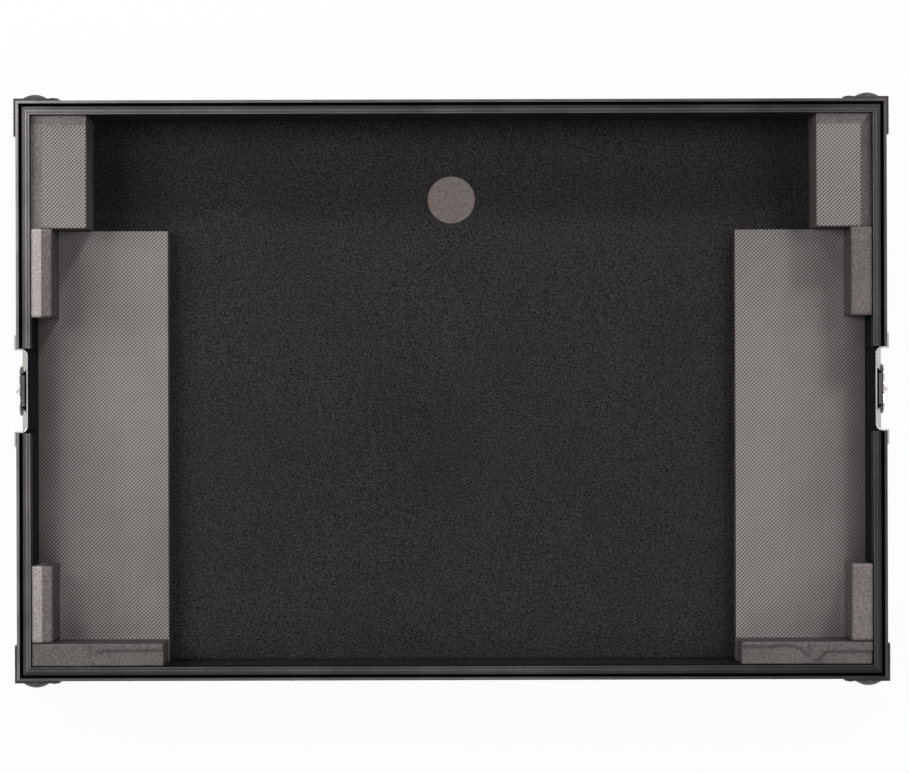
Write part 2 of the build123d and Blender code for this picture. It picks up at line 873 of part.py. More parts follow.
def make_latch_wing(end, depth):
    """One folding wing of the butterfly, flat in the dish, with two knuckles on the pin."""
    sign = ENDS[end]
    side = DEPTHS[depth]
    pin_x = sign * (half_length + pin_out)
    with BuildPart() as wing:
        with BuildSketch(latch_plane(end, wing_inner)):
            local = side * sign
            with BuildLine():
                upper = ThreePointArc(
                    (local * wing_flare_start, turn_height + wing_half_height),
                    (local * wing_radius, turn_height),
                    (local * wing_flare_start, turn_height - wing_half_height),
                )
                Polyline(
                    upper @ 1,
                    (local * wing_root, turn_height - wing_waist_half_height),
                    (local * wing_root, turn_height + wing_waist_half_height),
                    upper @ 0,
                )
            make_face()
        extrude(amount=wing_thickness)
        fillet(wing.edges().filter_by(GeomType.CIRCLE), wing_edge_radius)
        for low, high in knuckle_spans(depth):
            block(
                (sign * (half_length + wing_inner), 0, low),
                (sign * (half_length + wing_outer), side * (wing_root + wing_thickness), high),
            )
            upright_tube(pin_x, knuckle_radius, low, high)
        lowest = knuckle_spans("rear")[1][0]
        highest = knuckle_spans("rear")[0][1]
        upright_tube(pin_x, pin_radius + shaft_clearance, lowest, highest, mode=Mode.SUBTRACT)
    return wing


def make_latch(end):
    """Writes the pieces of one latch."""
    save(make_latch_dish(end), f"{end}_latch_dish")
    save(make_latch_channel(end), f"{end}_latch_channel")
    save(make_latch_hook(end), f"{end}_latch_hook")
    save(make_latch_hub(end), f"{end}_latch_hub")
    save(make_latch_pin(end), f"{end}_latch_pin")
    for depth in DEPTHS:
        save(make_latch_wing(end, depth), f"{end}_latch_wing_{depth}")


os.makedirs("parts", exist_ok=True)

save(make_floor_panel(), "floor_panel")
save(make_floor_felt(), "floor_felt")
for side_name in SIDES:
    save(make_wall_panel(side_name), f"{side_name}_panel")
    save(make_wall_felt(side_name), f"{side_name}_felt")
    save(make_bottom_angle(side_name), f"{side_name}_bottom_angle")

for depth_name in DEPTHS:
    save(make_rim(depth_name), f"{depth_name}_rim")

for end_name in ENDS:
    for depth_name in DEPTHS:
        save(make_rim(end_name, depth_name), f"{end_name}_rim_{depth_name}")
        save(make_corner_angle(end_name, depth_name), f"corner_angle_{depth_name}_{end_name}")
        save(make_ball_corner(end_name, depth_name), f"ball_corner_{depth_name}_{end_name}")
        save(make_side_block(end_name, depth_name), f"{end_name}_side_block_{depth_name}")
    save(make_pad(end_name), f"{end_name}_pad")
    save(make_corner_block(end_name), f"{end_name}_corner_block")
    save(make_corner_liner(end_name), f"{end_name}_corner_liner")
    save(make_front_block(end_name), f"{end_name}_front_block")
    make_latch(end_name)

save(make_rim_braces(), "rim_braces")
save(make_case_rivets(), "case_rivets")
save(make_latch_rivets(), "latch_rivets")
save(make_rubber_feet(), "rubber_feet")
save(make_foot_washers(), "foot_washers")
save(make_foot_screws(), "foot_screws")
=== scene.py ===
# %% [markdown]
# The base half of a flight case for a DJ controller, seen straight from above with its lid lifted off.
#
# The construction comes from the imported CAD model, and this file dresses it. Rigid metal and board keep
# their CAD meshes and get a procedural finish. Felt and foam are soft, so each of those pieces is modelled
# again here, in the space that its CAD solid holds, and then stands for that solid.

# %% Load the frame
import math

import bmesh
import bpy
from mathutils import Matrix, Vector, noise


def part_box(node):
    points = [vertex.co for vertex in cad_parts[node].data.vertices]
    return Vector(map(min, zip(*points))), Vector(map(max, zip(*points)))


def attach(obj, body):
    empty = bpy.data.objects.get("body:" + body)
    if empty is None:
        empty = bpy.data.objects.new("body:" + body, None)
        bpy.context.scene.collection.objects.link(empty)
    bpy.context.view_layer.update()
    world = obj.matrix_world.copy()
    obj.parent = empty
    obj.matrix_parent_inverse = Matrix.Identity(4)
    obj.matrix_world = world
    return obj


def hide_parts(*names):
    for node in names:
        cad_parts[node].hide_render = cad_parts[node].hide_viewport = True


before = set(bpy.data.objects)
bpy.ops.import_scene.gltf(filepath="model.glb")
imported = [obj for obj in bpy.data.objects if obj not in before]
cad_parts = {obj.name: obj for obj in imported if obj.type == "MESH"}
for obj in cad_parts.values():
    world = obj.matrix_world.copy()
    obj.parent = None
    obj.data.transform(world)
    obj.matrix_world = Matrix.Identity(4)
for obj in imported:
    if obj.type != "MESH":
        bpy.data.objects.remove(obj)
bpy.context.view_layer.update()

# %% Sizes that the dressing shares
MM = 0.001
ENDS = {"left": -1, "right": 1}
DEPTHS = {"front": -1, "rear": 1}
rim_front_low, rim_front_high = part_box("front_rim")
felt_low, felt_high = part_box("floor_felt")
case_half_length = rim_front_high.x
case_half_width = -rim_front_low.y
rim_top = rim_front_high.z
floor_top = felt_high.z
print("case", 2 * case_half_length, "by", 2 * case_half_width, "rim at", rim_top)

# %% [markdown]
# Every finish below is a node tree built in code. These helpers add nodes with their inputs filled, by a
# link or by a plain value, and give back the socket that the next node needs.

# %% Helpers for node trees
def fill(tree, socket, value):
    """Links a value to a socket if it is a socket itself, or else sets it. A colour gets its alpha here."""
    if isinstance(value, bpy.types.NodeSocket):
        tree.links.new(value, socket)
    elif socket.type == "RGBA":
        socket.default_value = (*value, 1.0)
    else:
        socket.default_value = value


def add_node(tree, kind, inputs=None, **settings):
    """Adds a node, sets its properties and fills its inputs."""
    node = tree.nodes.new(kind)
    for name, value in settings.items():
        setattr(node, name, value)
    for name, value in (inputs or {}).items():
        fill(tree, node.inputs[name], value)
    return node


def new_group(name, kind, inputs, outputs):
    """Starts a node group, and gives its tree, the sockets that feed it and the sockets that it fills."""
    tree = bpy.data.node_groups.new(name, kind)
    for in_out, sockets in (("INPUT", inputs), ("OUTPUT", outputs)):
        for title, socket in sockets.items():
            tree.interface.new_socket(name=title, in_out=in_out, socket_type="NodeSocket" + socket)
    return tree, tree.nodes.new("NodeGroupInput").outputs, tree.nodes.new("NodeGroupOutput").inputs


def maths(tree, operation, a, b=None):
    """One arithmetic node, and its result."""
    inputs = {0: a} if b is None else {0: a, 1: b}
    return add_node(tree, "ShaderNodeMath", inputs, operation=operation).outputs[0]


def vector_maths(tree, operation, a, b):
    """One arithmetic node for vectors, and its outputs."""
    return add_node(tree, "ShaderNodeVectorMath", {0: a, 1: b}, operation=operation).outputs


def remap(tree, value, low, high, out_low, out_high):
    """Maps a value from one range to another, and holds it there."""
    inputs = {"Value": value, "From Min": low, "From Max": high, "To Min": out_low, "To Max": out_high}
    return add_node(tree, "ShaderNodeMapRange", inputs).outputs["Result"]


def spread(tree, value, out_low, out_high):
    """Maps noise to a range. Nearly all of any noise lies between 0.3 and 0.7."""
    return remap(tree, value, 0.3, 0.7, out_low, out_high)


def object_place(tree):
    """The point that is shaded, in the coordinates of its object."""
    return add_node(tree, "ShaderNodeTexCoord").outputs["Object"]


def separate(tree, vector):
    """A vector's X, Y and Z."""
    return add_node(tree, "ShaderNodeSeparateXYZ", {0: vector}).outputs


def plain_noise(tree, place, scale, detail, **more):
    """Noise between 0 and 1, whose scale is in lumps per metre."""
    inputs = {"Vector": place, "Scale": scale, "Detail": detail, **more}
    return add_node(tree, "ShaderNodeTexNoise", inputs).outputs["Fac"]


def colour_between(tree, factor, dark, light):
    """Mixes two colours by a factor, and gives the result."""
    inputs = {0: factor, 6: dark, 7: light}
    return add_node(tree, "ShaderNodeMix", inputs, data_type="RGBA").outputs[2]


def scaled(factor, colour):
    """A colour made darker or lighter."""
    return tuple(factor * c for c in colour)


# %% [markdown]
# Dust settles as soft clouds and as single pale specks, with more or less of both on every surface. So dust
# is one node group that gives a mask, and each material mixes it into its colour.

# %% Dust
DUST_PALE = (0.42, 0.40, 0.38)
DUST_GREY = (0.36, 0.34, 0.33)
DUST_DIM = (0.30, 0.29, 0.28)


def make_dust_group():
    tree, source, target = new_group(
        "Dust",
        "ShaderNodeTree",
        {"Speck Scale": "Float", "Speck Amount": "Float", "Cloud Amount": "Float"},
        {"Mask": "Float"},
    )
    place = object_place(tree)
    cells = add_node(tree, "ShaderNodeTexVoronoi", {"Vector": place, "Scale": source["Speck Scale"]}).outputs
    chance = add_node(tree, "ShaderNodeSeparateColor", {"Color": cells["Color"]}).outputs["Red"]
    size = maths(tree, "MULTIPLY", maths(tree, "SUBTRACT", source["Speck Amount"], chance), 2.2)
    speck = maths(tree, "GREATER_THAN", size, cells["Distance"])
    cloud = remap(tree, plain_noise(tree, place, scale=9.0, detail=6.0), 0.45, 0.75, 0.0, 1.0)
    cloud = maths(tree, "MULTIPLY", cloud, source["Cloud Amount"])
    tree.links.new(maths(tree, "MAXIMUM", speck, cloud), target["Mask"])
    return tree


dust_group = make_dust_group()
print("dust group", len(dust_group.nodes), "nodes")


def dust_mask(tree, specks_per_metre, specks, clouds):
    """How much dust lies at a point, from 0 to 1."""
    inputs = {"Speck Scale": specks_per_metre, "Speck Amount": specks, "Cloud Amount": clouds}
    return add_node(tree, "ShaderNodeGroup", inputs, node_tree=dust_group).outputs["Mask"]


# %% [markdown]
# Extruded and handled metal shows fine lines along its length and a patchy sheen where hands and the lid
# rub. The lines are noise squeezed along one direction, and the patches are plain noise.

# %% Metal streaks
def make_streak_group():
    tree, source, target = new_group(
        "Streaks",
        "ShaderNodeTree",
        {"Squeeze": "Vector", "Patch Scale": "Float"},
        {"Line": "Float", "Patch": "Float"},
    )
    place = object_place(tree)
    squeezed = vector_maths(tree, "MULTIPLY", place, source["Squeeze"])[0]
    tree.links.new(plain_noise(tree, squeezed, scale=1.0, detail=3.0), target["Line"])
    patch = plain_noise(tree, place, scale=source["Patch Scale"], detail=5.0, Roughness=0.6)
    tree.links.new(patch, target["Patch"])
    return tree


streak_group = make_streak_group()
print("streak group", len(streak_group.nodes), "nodes")


def streaks_over(tree, squeeze, patches_per_metre):
    """The fine lines and the patches at a point."""
    inputs = {"Squeeze": squeeze, "Patch Scale": patches_per_metre}
    outputs = add_node(tree, "ShaderNodeGroup", inputs, node_tree=streak_group).outputs
    return outputs["Line"], outputs["Patch"]


# %% [markdown]
# Each material starts with a Principled shader. Its bevel node rounds the CAD mesh's sharp edges in the
# shading, by a few tenths of a millimetre, which is what catches the light on a real folded or sawn edge.
# Each ends with a colour, a roughness and a normal.

# %% Starting and ending a material
def start_material(name, bevel=0.0, **constants):
    """Makes a material with one Principled shader, sets its plain values, and gives its tree and shader."""
    material = bpy.data.materials.new(name)
    material.use_nodes = True
    tree = material.node_tree
    shader = tree.nodes["Principled BSDF"]
    for title, value in constants.items():
        shader.inputs[title.replace("_", " ")].default_value = value
    normal = None
    if bevel:
        normal = add_node(tree, "ShaderNodeBevel", {"Radius": bevel}, samples=6).outputs["Normal"]
    return material, tree, shader, normal


def bump(tree, height, distance, strength, normal=None):
    """A bump node fed by a height, and its normal."""
    inputs = {"Height": height, "Distance": distance, "Strength": strength}
    if normal is not None:
        inputs["Normal"] = normal
    return add_node(tree, "ShaderNodeBump", inputs).outputs["Normal"]


def end_material(tree, shader, colour, rough, normal):
    """Feeds the Principled shader."""
    for title, value in (("Base Color", colour), ("Roughness", rough), ("Normal", normal)):
        tree.links.new(value, shader.inputs[title])


# %% [markdown]
# The angles are aluminium with a black anodised skin: a dark satin metal with die lines along its length,
# dusty, and rubbed slightly grey. The lines run along X at the front and rear and along Y at the ends, and
# upright in the corner angles, so the same recipe is made once for each direction.

# %% Black anodised aluminium
ALONG_X = (6.0, 1400.0, 1400.0)
ALONG_Y = (1400.0, 6.0, 1400.0)
UPRIGHT = (1400.0, 1400.0, 6.0)
RIM_PATCHES = 26.0
DIE_LINE_DEPTH = 0.03 * MM


def make_anodised(name, squeeze):
    material, tree, shader, normal = start_material(name, bevel=0.35 * MM, Metallic=0.85)
    line, patch = streaks_over(tree, squeeze, RIM_PATCHES)
    dust = dust_mask(tree, 420.0, specks=0.035, clouds=0.12)
    skin = colour_between(tree, patch, (0.030, 0.029, 0.029), (0.065, 0.062, 0.061))
    skin = colour_between(tree, dust, skin, DUST_PALE)
    rough = maths(tree, "MAXIMUM", spread(tree, line, 0.24, 0.40), dust)
    end_material(tree, shader, skin, rough, bump(tree, line, DIE_LINE_DEPTH, 0.5, normal))
    return material


anodised_x = make_anodised("anodised_along_x", ALONG_X)
anodised_y = make_anodised("anodised_along_y", ALONG_Y)
anodised_z = make_anodised("anodised_upright", UPRIGHT)

# %% [markdown]
# The rim has the same skin, but looks different from its outer lip inwards: a satin lip, the groove, which is
# black with painted shade, a dull shoulder, and the inner strip, whose two edges carry painted highlights and
# which turns dark at its inner edge. All of that follows from how far a point lies in from the outer face, so
# one colour ramp over that distance says it, with a stop in millimetres for each change. Rubbed patches vary
# it, and a painted reflection makes the whole rim lighter towards the left end of the case and darker on the
# front.

# %% Rim extrusion
RIM_WIDTH = 12.5
# Shares of the painted reflection: what is left of it at the right end of the case, and on the front rim.
RIGHT_END_PAINTED_REFLECTION = 0.34
FRONT_PAINTED_REFLECTION = 0.48
# Painted shade: black from 2.6 to 4.9 mm in the groove. Painted highlights: the bright stops from 8.9 to 9.3
# mm and from 12.0 to 12.38 mm on the strip's edges.
RIM_TONES_AND_PAINTED_LIGHT = [
    (0.0, 0.75), (2.4, 0.75), (2.6, 0.0), (4.9, 0.0),
    (5.3, 0.24), (8.7, 0.26), (8.9, 1.0), (9.3, 1.0),
    (9.6, 0.38), (11.8, 0.38), (12.0, 1.0), (12.38, 1.0),
    (12.46, 0.1), (12.5, 0.1),
]
RIM_DARK = (0.008, 0.008, 0.008)
RIM_LIGHT = (0.235, 0.220, 0.214)
GROOVE_PAINTED_SHADE = (0.003, 0.003, 0.003)


def make_rim_finish(name, squeeze, across, half_span, painted_reflection=1.0):
    material, tree, shader, normal = start_material(name, bevel=0.25 * MM, Metallic=0.9)
    place = separate(tree, object_place(tree))
    inset = maths(tree, "SUBTRACT", half_span, maths(tree, "ABSOLUTE", place[across]))
    ramp = add_node(tree, "ShaderNodeValToRGB", {"Fac": maths(tree, "DIVIDE", inset, RIM_WIDTH * MM)})
    stops = ramp.color_ramp.elements
    while len(stops) < len(RIM_TONES_AND_PAINTED_LIGHT):
        stops.new(0.5)
    for stop, (distance, shade) in zip(stops, RIM_TONES_AND_PAINTED_LIGHT):
        stop.position = distance / RIM_WIDTH
        stop.color = (shade, shade, shade, 1.0)
    shade = ramp.outputs["Color"]
    # The black part of the ramp marks the groove's painted shade.
    groove_shade_mask = maths(tree, "LESS_THAN", shade, 0.02)
    line, patch = streaks_over(tree, squeeze, RIM_PATCHES)
    dust = dust_mask(tree, 520.0, specks=0.04, clouds=0.06)
    rubbed_and_painted_light = maths(tree, "MULTIPLY", spread(tree, patch, 0.6, 1.0), shade)
    half = case_half_length
    # Painted reflection: the rim is lighter at the left end and darker towards the right end.
    painted_reflection_fade = remap(tree, place["X"], -half, half, painted_reflection, painted_reflection * RIGHT_END_PAINTED_REFLECTION)
    skin = colour_between(tree, maths(tree, "MULTIPLY", rubbed_and_painted_light, painted_reflection_fade), RIM_DARK, RIM_LIGHT)
    skin = colour_between(tree, dust, skin, DUST_GREY)
    skin = colour_between(tree, groove_shade_mask, skin, GROOVE_PAINTED_SHADE)
    rough = maths(tree, "MAXIMUM", spread(tree, line, 0.26, 0.40), dust)
    rough = maths(tree, "MAXIMUM", rough, groove_shade_mask)
    end_material(tree, shader, skin, rough, bump(tree, line, DIE_LINE_DEPTH, 0.5, normal))
    return material


rim_rear = make_rim_finish("rim_rear", ALONG_X, "Y", case_half_width)
rim_front = make_rim_finish("rim_front", ALONG_X, "Y", case_half_width, painted_reflection=FRONT_PAINTED_REFLECTION)
rim_along_y = make_rim_finish("rim_along_y", ALONG_Y, "X", case_half_length)

# %% [markdown]
# Ball corners and braces are pressed steel under black powder coat, which has a faint orange-peel skin.
# Where the coat is rubbed it is paler and duller, so the same patches drive the colour and the roughness.
# The latch's black channel and the blackened rivets share the recipe.

# %% Black powder coat
def make_powder_coat(name, colour, rough_low, rough_high):
    material, tree, shader, normal = start_material(name, bevel=0.5 * MM, Specular_IOR_Level=0.3)
    line, patch = streaks_over(tree, (300.0, 300.0, 300.0), 45.0)
    dust = dust_mask(tree, 380.0, specks=0.03, clouds=0.10)
    skin = colour_between(tree, remap(tree, patch, 0.45, 0.7, 0.0, 1.0), colour, scaled(2.2, colour))
    skin = colour_between(tree, dust, skin, DUST_GREY)
    rough = remap(tree, patch, 0.35, 0.7, rough_low, rough_high)
    end_material(tree, shader, skin, rough, bump(tree, line, 0.06 * MM, 0.4, normal))
    return material


powder_coat = make_powder_coat("black_powder_coat", (0.014, 0.0135, 0.0135), 0.3, 0.5)
latch_black = make_powder_coat("latch_black_paint", (0.012, 0.012, 0.012), 0.25, 0.42)
rivet_black = make_powder_coat("black_rivet", (0.030, 0.029, 0.028), 0.3, 0.45)

# %% [markdown]
# The latch dishes are bright pressed steel. Chrome lives from what it reflects: a light metal with a low,
# slightly uneven roughness and faint drawing lines from the press. The hook's zinc is dark and dull.

# %% Bright and zinc-plated metal
DRAWN_DOWN = (300.0, 300.0, 20.0)
DRAWN_EVENLY = (300.0, 300.0, 300.0)


def make_bright_metal(name, colour, rough_low, rough_high, squeeze=DRAWN_DOWN):
    material, tree, shader, normal = start_material(name, bevel=0.4 * MM, Metallic=1.0)
    line, patch = streaks_over(tree, squeeze, 60.0)
    dust = dust_mask(tree, 500.0, specks=0.006, clouds=0.05)
    skin = colour_between(tree, remap(tree, patch, 0.4, 0.7, 0.0, 1.0), colour, scaled(0.72, colour))
    skin = colour_between(tree, dust, skin, DUST_DIM)
    rough = spread(tree, patch, rough_low, rough_high)
    end_material(tree, shader, skin, rough, bump(tree, line, 0.005 * MM, 0.3, normal))
    return material


latch_chrome = make_bright_metal("latch_chrome", (0.52, 0.51, 0.50), 0.08, 0.16)
hook_zinc = make_bright_metal("hook_zinc", (0.075, 0.073, 0.071), 0.35, 0.5)
wing_chrome = make_bright_metal("wing_chrome", (0.66, 0.65, 0.64), 0.10, 0.20)
foot_zinc = make_bright_metal("foot_zinc", (0.62, 0.61, 0.58), 0.2, 0.35, squeeze=DRAWN_EVENLY)

# %% [markdown]
# The boards are plywood under a black laminate with a pebbled surface. Smooth Voronoi cells make the
# pebbles: round domes with paler valleys between them, about two millimetres apart.

# %% Pebbled laminate
def make_laminate():
    material, tree, shader, normal = start_material("pebbled_laminate", 0.4 * MM, Specular_IOR_Level=0.4)
    inputs = {"Vector": object_place(tree), "Scale": 480.0, "Smoothness": 0.35}
    pebbles = add_node(tree, "ShaderNodeTexVoronoi", inputs, feature="SMOOTH_F1").outputs["Distance"]
    dust = dust_mask(tree, 400.0, specks=0.03, clouds=0.16)
    valley = remap(tree, pebbles, 0.35, 0.75, 0.0, 0.6)
    skin = colour_between(tree, valley, (0.022, 0.021, 0.021), (0.038, 0.036, 0.035))
    skin = colour_between(tree, dust, skin, (0.24, 0.23, 0.22))
    rough = remap(tree, pebbles, 0.1, 0.7, 0.38, 0.62)
    height = maths(tree, "SUBTRACT", 1.0, pebbles)
    end_material(tree, shader, skin, rough, bump(tree, height, 0.35 * MM, 0.7, normal))
    return material


laminate = make_laminate()

# %% Moulded rubber for the feet
def make_rubber():
    material, tree, shader, normal = start_material("foot_rubber", bevel=0.6 * MM, Specular_IOR_Level=0.35)
    line, patch = streaks_over(tree, (900.0, 900.0, 900.0), 70.0)
    skin = colour_between(tree, patch, (0.018, 0.018, 0.018), (0.040, 0.039, 0.038))
    rough = spread(tree, patch, 0.6, 0.8)
    end_material(tree, shader, skin, rough, bump(tree, line, 0.08 * MM, 0.5, normal))
    return material


foot_rubber = make_rubber()

# %% [markdown]
# Black needle felt is a mat of short tangled fibres. Close up it has no thread pattern, only a cloudy,
# scratchy nap: long thin noise in several directions gives the fibres, a faint sheen gives the fuzz its pale
# edge, and lint shows as tiny white specks. One darker cloud in the middle of the floor is a patch where the
# nap is worn. The felts of the front and end walls are darker copies, painted shade, because the lamps reach
# the walls so differently, and the rear wall's felt keeps nearly the floor's tone.

# %% Needle felt
WORN_PATCH = (-0.045, -0.045)
WORN_RADIUS = 0.062
FIBRE = (1500.0, 480.0, 900.0)
FIBRE_TURNS = (0.3, 1.4, 2.5)


def make_felt(name, light, sheen, worn_patch=False):
    constants = {"Specular_IOR_Level": 0.0, "Sheen_Weight": sheen, "Sheen_Roughness": 0.6}
    material, tree, shader, _ = start_material(name, **constants)
    place = object_place(tree)
    fibres = None
    for angle in FIBRE_TURNS:
        inputs = {"Vector": place, "Rotation": (0.0, 0.0, angle)}
        turned = add_node(tree, "ShaderNodeMapping", inputs).outputs[0]
        strand = plain_noise(tree, vector_maths(tree, "MULTIPLY", turned, FIBRE)[0], scale=1.0, detail=2.0)
        fibres = strand if fibres is None else maths(tree, "MAXIMUM", fibres, strand)
    clouds = plain_noise(tree, place, scale=22.0, detail=7.0)
    nap = remap(tree, fibres, 0.52, 0.68, 0.0, 1.2)
    nap = maths(tree, "MULTIPLY", nap, spread(tree, clouds, 0.86, 1.06))
    if worn_patch:
        away = vector_maths(tree, "DISTANCE", place, (*WORN_PATCH, floor_top))["Value"]
        edge = maths(tree, "ADD", away, maths(tree, "MULTIPLY", clouds, 0.05))
        worn = remap(tree, edge, WORN_RADIUS - 0.040, WORN_RADIUS + 0.045, 0.70, 1.0)
        nap = maths(tree, "MULTIPLY", nap, worn)
    dust = dust_mask(tree, 260.0, specks=0.02, clouds=0.0)
    skin = colour_between(tree, dust, colour_between(tree, nap, scaled(0.15, light), light), DUST_DIM)
    rough = remap(tree, nap, 0.3, 1.0, 0.98, 0.86)
    end_material(tree, shader, skin, rough, bump(tree, fibres, 0.5 * MM, 0.8))
    return material


floor_felt_finish = make_felt("floor_felt_nap", (0.060, 0.0563, 0.0563), sheen=0.10, worn_patch=True)
# The floor's felt has its own tone. The front and end walls get darker copies, painted shade.
wall_felt_finishes = {
    "rear": make_felt("rear_wall_felt_nap", (0.056, 0.0525, 0.0525), sheen=0.04),
    "front": make_felt("front_wall_felt_painted_shade", (0.020, 0.0188, 0.0188), sheen=0.02),
}
for end in ENDS:
    wall_felt_finishes[end] = make_felt(f"{end}_wall_felt_nap", (0.023, 0.0216, 0.0216), sheen=0.02)

# %% [markdown]
# The foam is closed-cell EVA in a warm dark grey. Cut faces show fine cells and a fine grain, so they share
# one recipe with a colour for each cut. Several of those colours are lighter or darker copies of one foam,
# which is painted light, painted sheen and painted shade. The tone drifts over a block, a few stains darken
# it, and the upright faces get painted shade, which makes them darker than the tops.

# %% Cut foam
SIDE_PAINTED_SHADE = 0.5


def painted_side_shade(tree, colour):
    """Paints shade on upright faces by darkening their colour."""
    facing = add_node(tree, "ShaderNodeNewGeometry").outputs["True Normal"]
    upright = remap(tree, separate(tree, facing)["Z"], 0.2, 0.8, 1.0, 0.0)
    return colour_between(tree, maths(tree, "MULTIPLY", upright, 1.0 - SIDE_PAINTED_SHADE), colour, (0.0, 0.0, 0.0))


def make_cut_foam(name, dark, light, stain=0.3):
    material, tree, shader, _ = start_material(name, Specular_IOR_Level=0.1)
    place = object_place(tree)
    cells = add_node(tree, "ShaderNodeTexVoronoi", {"Vector": place, "Scale": 1100.0}).outputs["Distance"]
    drift = plain_noise(tree, place, scale=16.0, detail=8.0)
    blots = plain_noise(tree, place, scale=38.0, detail=3.0, Distortion=0.4)
    grain = plain_noise(tree, place, scale=520.0, detail=3.0)
    dust = dust_mask(tree, 330.0, specks=0.03, clouds=0.10)
    tone = spread(tree, drift, 0.1, 0.9)
    tone = maths(tree, "ADD", tone, remap(tree, cells, 0.1, 0.6, 0.3, -0.3))
    tone = maths(tree, "ADD", tone, spread(tree, grain, -0.9, 0.9))
    blot = maths(tree, "MULTIPLY", remap(tree, blots, 0.62, 0.72, 0.0, 1.0), stain)
    skin = colour_between(tree, blot, colour_between(tree, tone, dark, light), scaled(0.5, dark))
    # Painted shade on the upright faces.
    skin = painted_side_shade(tree, colour_between(tree, dust, skin, (0.40, 0.37, 0.36)))
    rough = spread(tree, drift, 0.72, 0.9)
    end_material(tree, shader, skin, rough, bump(tree, cells, 0.12 * MM, 0.6))
    return material


# The first and the last colours are the foam's own tones. The next two are paler copies with painted sheen,
# then one lighter copy with painted light and one darker copy with painted shade.
foam_cut = make_cut_foam("foam_cut", (0.125, 0.109, 0.106), (0.205, 0.183, 0.178))
foam_painted_sheen = make_cut_foam("foam_painted_sheen", (0.31, 0.280, 0.272), (0.44, 0.40, 0.39), stain=0.1)
foam_painted_sheen_strong = make_cut_foam("foam_painted_sheen_strong", (0.385, 0.348, 0.338), (0.545, 0.495, 0.483), stain=0.1)
foam_painted_light = make_cut_foam("foam_painted_light", (0.165, 0.145, 0.141), (0.265, 0.237, 0.231))
foam_painted_shade = make_cut_foam("foam_painted_shade", (0.095, 0.083, 0.081), (0.150, 0.132, 0.128))
foam_front = make_cut_foam("foam_front", (0.115, 0.101, 0.098), (0.185, 0.164, 0.160), stain=0.15)

# %% [markdown]
# The tops of the pads and corner blocks carry the sheet's moulded texture: small pits on a diagonal lattice
# with raised ridges between them. Geometry Nodes press that shape into the mesh further down, and the
# material paints shade into the pits and a highlight on the ridges that run up to the right. Pits in shape
# and colour use the same wave, the product of two cosines, so that colour and shape can't drift apart.

# %% The wave of the moulded texture
PITCH = 3.5 * MM
TURNS_PER_METRE = 2 * math.pi / PITCH


def pit_wave(tree, place):
    """One at the middle of each pit, and less than nothing on the ridges."""
    turns = [maths(tree, "MULTIPLY", place[axis], TURNS_PER_METRE) for axis in ("X", "Y")]
    return maths(tree, "MULTIPLY", *[maths(tree, "COSINE", turn) for turn in turns])


def ridge_highlight_wave(tree, place):
    """Most on the ridges that run up to the right, which carry a painted highlight."""
    turns = maths(tree, "MULTIPLY", maths(tree, "SUBTRACT", place["X"], place["Y"]), TURNS_PER_METRE)
    return maths(tree, "MULTIPLY", maths(tree, "COSINE", turns), -1.0)


# %% [markdown]
# A strip of each pad along its side wall lies in the wall's shadow, and that shadow is painted into the
# colour there by mixing it with a dark one. The corner blocks stand higher and have no such strip.

# %% Textured foam
PAINTED_WALL_SHADOW_FROM = 0.358
PAINTED_WALL_SHADOW_TO = 0.374
PAINTED_WALL_SHADOW_SHARE = 0.5
PAINTED_WALL_SHADOW_COLOUR = (0.03, 0.027, 0.026)
PIT_PAINTED_SHADE = (0.020, 0.017, 0.017)
ABOVE_PADS = floor_top + 40 * MM


def make_textured_foam():
    material, tree, shader, _ = start_material("foam_textured", Specular_IOR_Level=0.1)
    place = object_place(tree)
    parts = separate(tree, place)
    drift = plain_noise(tree, place, scale=11.0, detail=6.0)
    grain = plain_noise(tree, place, scale=700.0, detail=2.0)
    dust = dust_mask(tree, 330.0, specks=0.025, clouds=0.12)
    tone = spread(tree, drift, 0.1, 0.8)
    tone = maths(tree, "ADD", tone, spread(tree, grain, -0.2, 0.2))
    # Painted highlight on the ridges that run up to the right.
    tone = maths(tree, "ADD", tone, maths(tree, "MULTIPLY", ridge_highlight_wave(tree, parts), 0.7))
    skin = colour_between(tree, tone, (0.215, 0.193, 0.187), (0.355, 0.320, 0.311))
    from_middle = maths(tree, "ABSOLUTE", parts["X"])
    # Painted shadow of the side wall, on the outer strip of each pad.
    painted_wall_shadow = remap(tree, from_middle, PAINTED_WALL_SHADOW_FROM, PAINTED_WALL_SHADOW_TO, 0.0, PAINTED_WALL_SHADOW_SHARE)
    on_pads = remap(tree, parts["Z"], ABOVE_PADS, ABOVE_PADS + 5 * MM, 1.0, 0.0)
    skin = colour_between(tree, maths(tree, "MULTIPLY", painted_wall_shadow, on_pads), skin, PAINTED_WALL_SHADOW_COLOUR)
    # Painted shade in the pits.
    pit = remap(tree, pit_wave(tree, parts), 0.05, 0.75, 0.0, 0.95)
    skin = colour_between(tree, pit, skin, PIT_PAINTED_SHADE)
    skin = colour_between(tree, dust, skin, DUST_PALE)
    rough = spread(tree, drift, 0.62, 0.8)
    end_material(tree, shader, skin, rough, bump(tree, grain, 0.08 * MM, 0.5))
    return material


foam_textured = make_textured_foam()
print("materials", len(bpy.data.materials))

# %% [markdown]
# The CAD nodes that keep their meshes only need their finishes, by a table from node name to material.

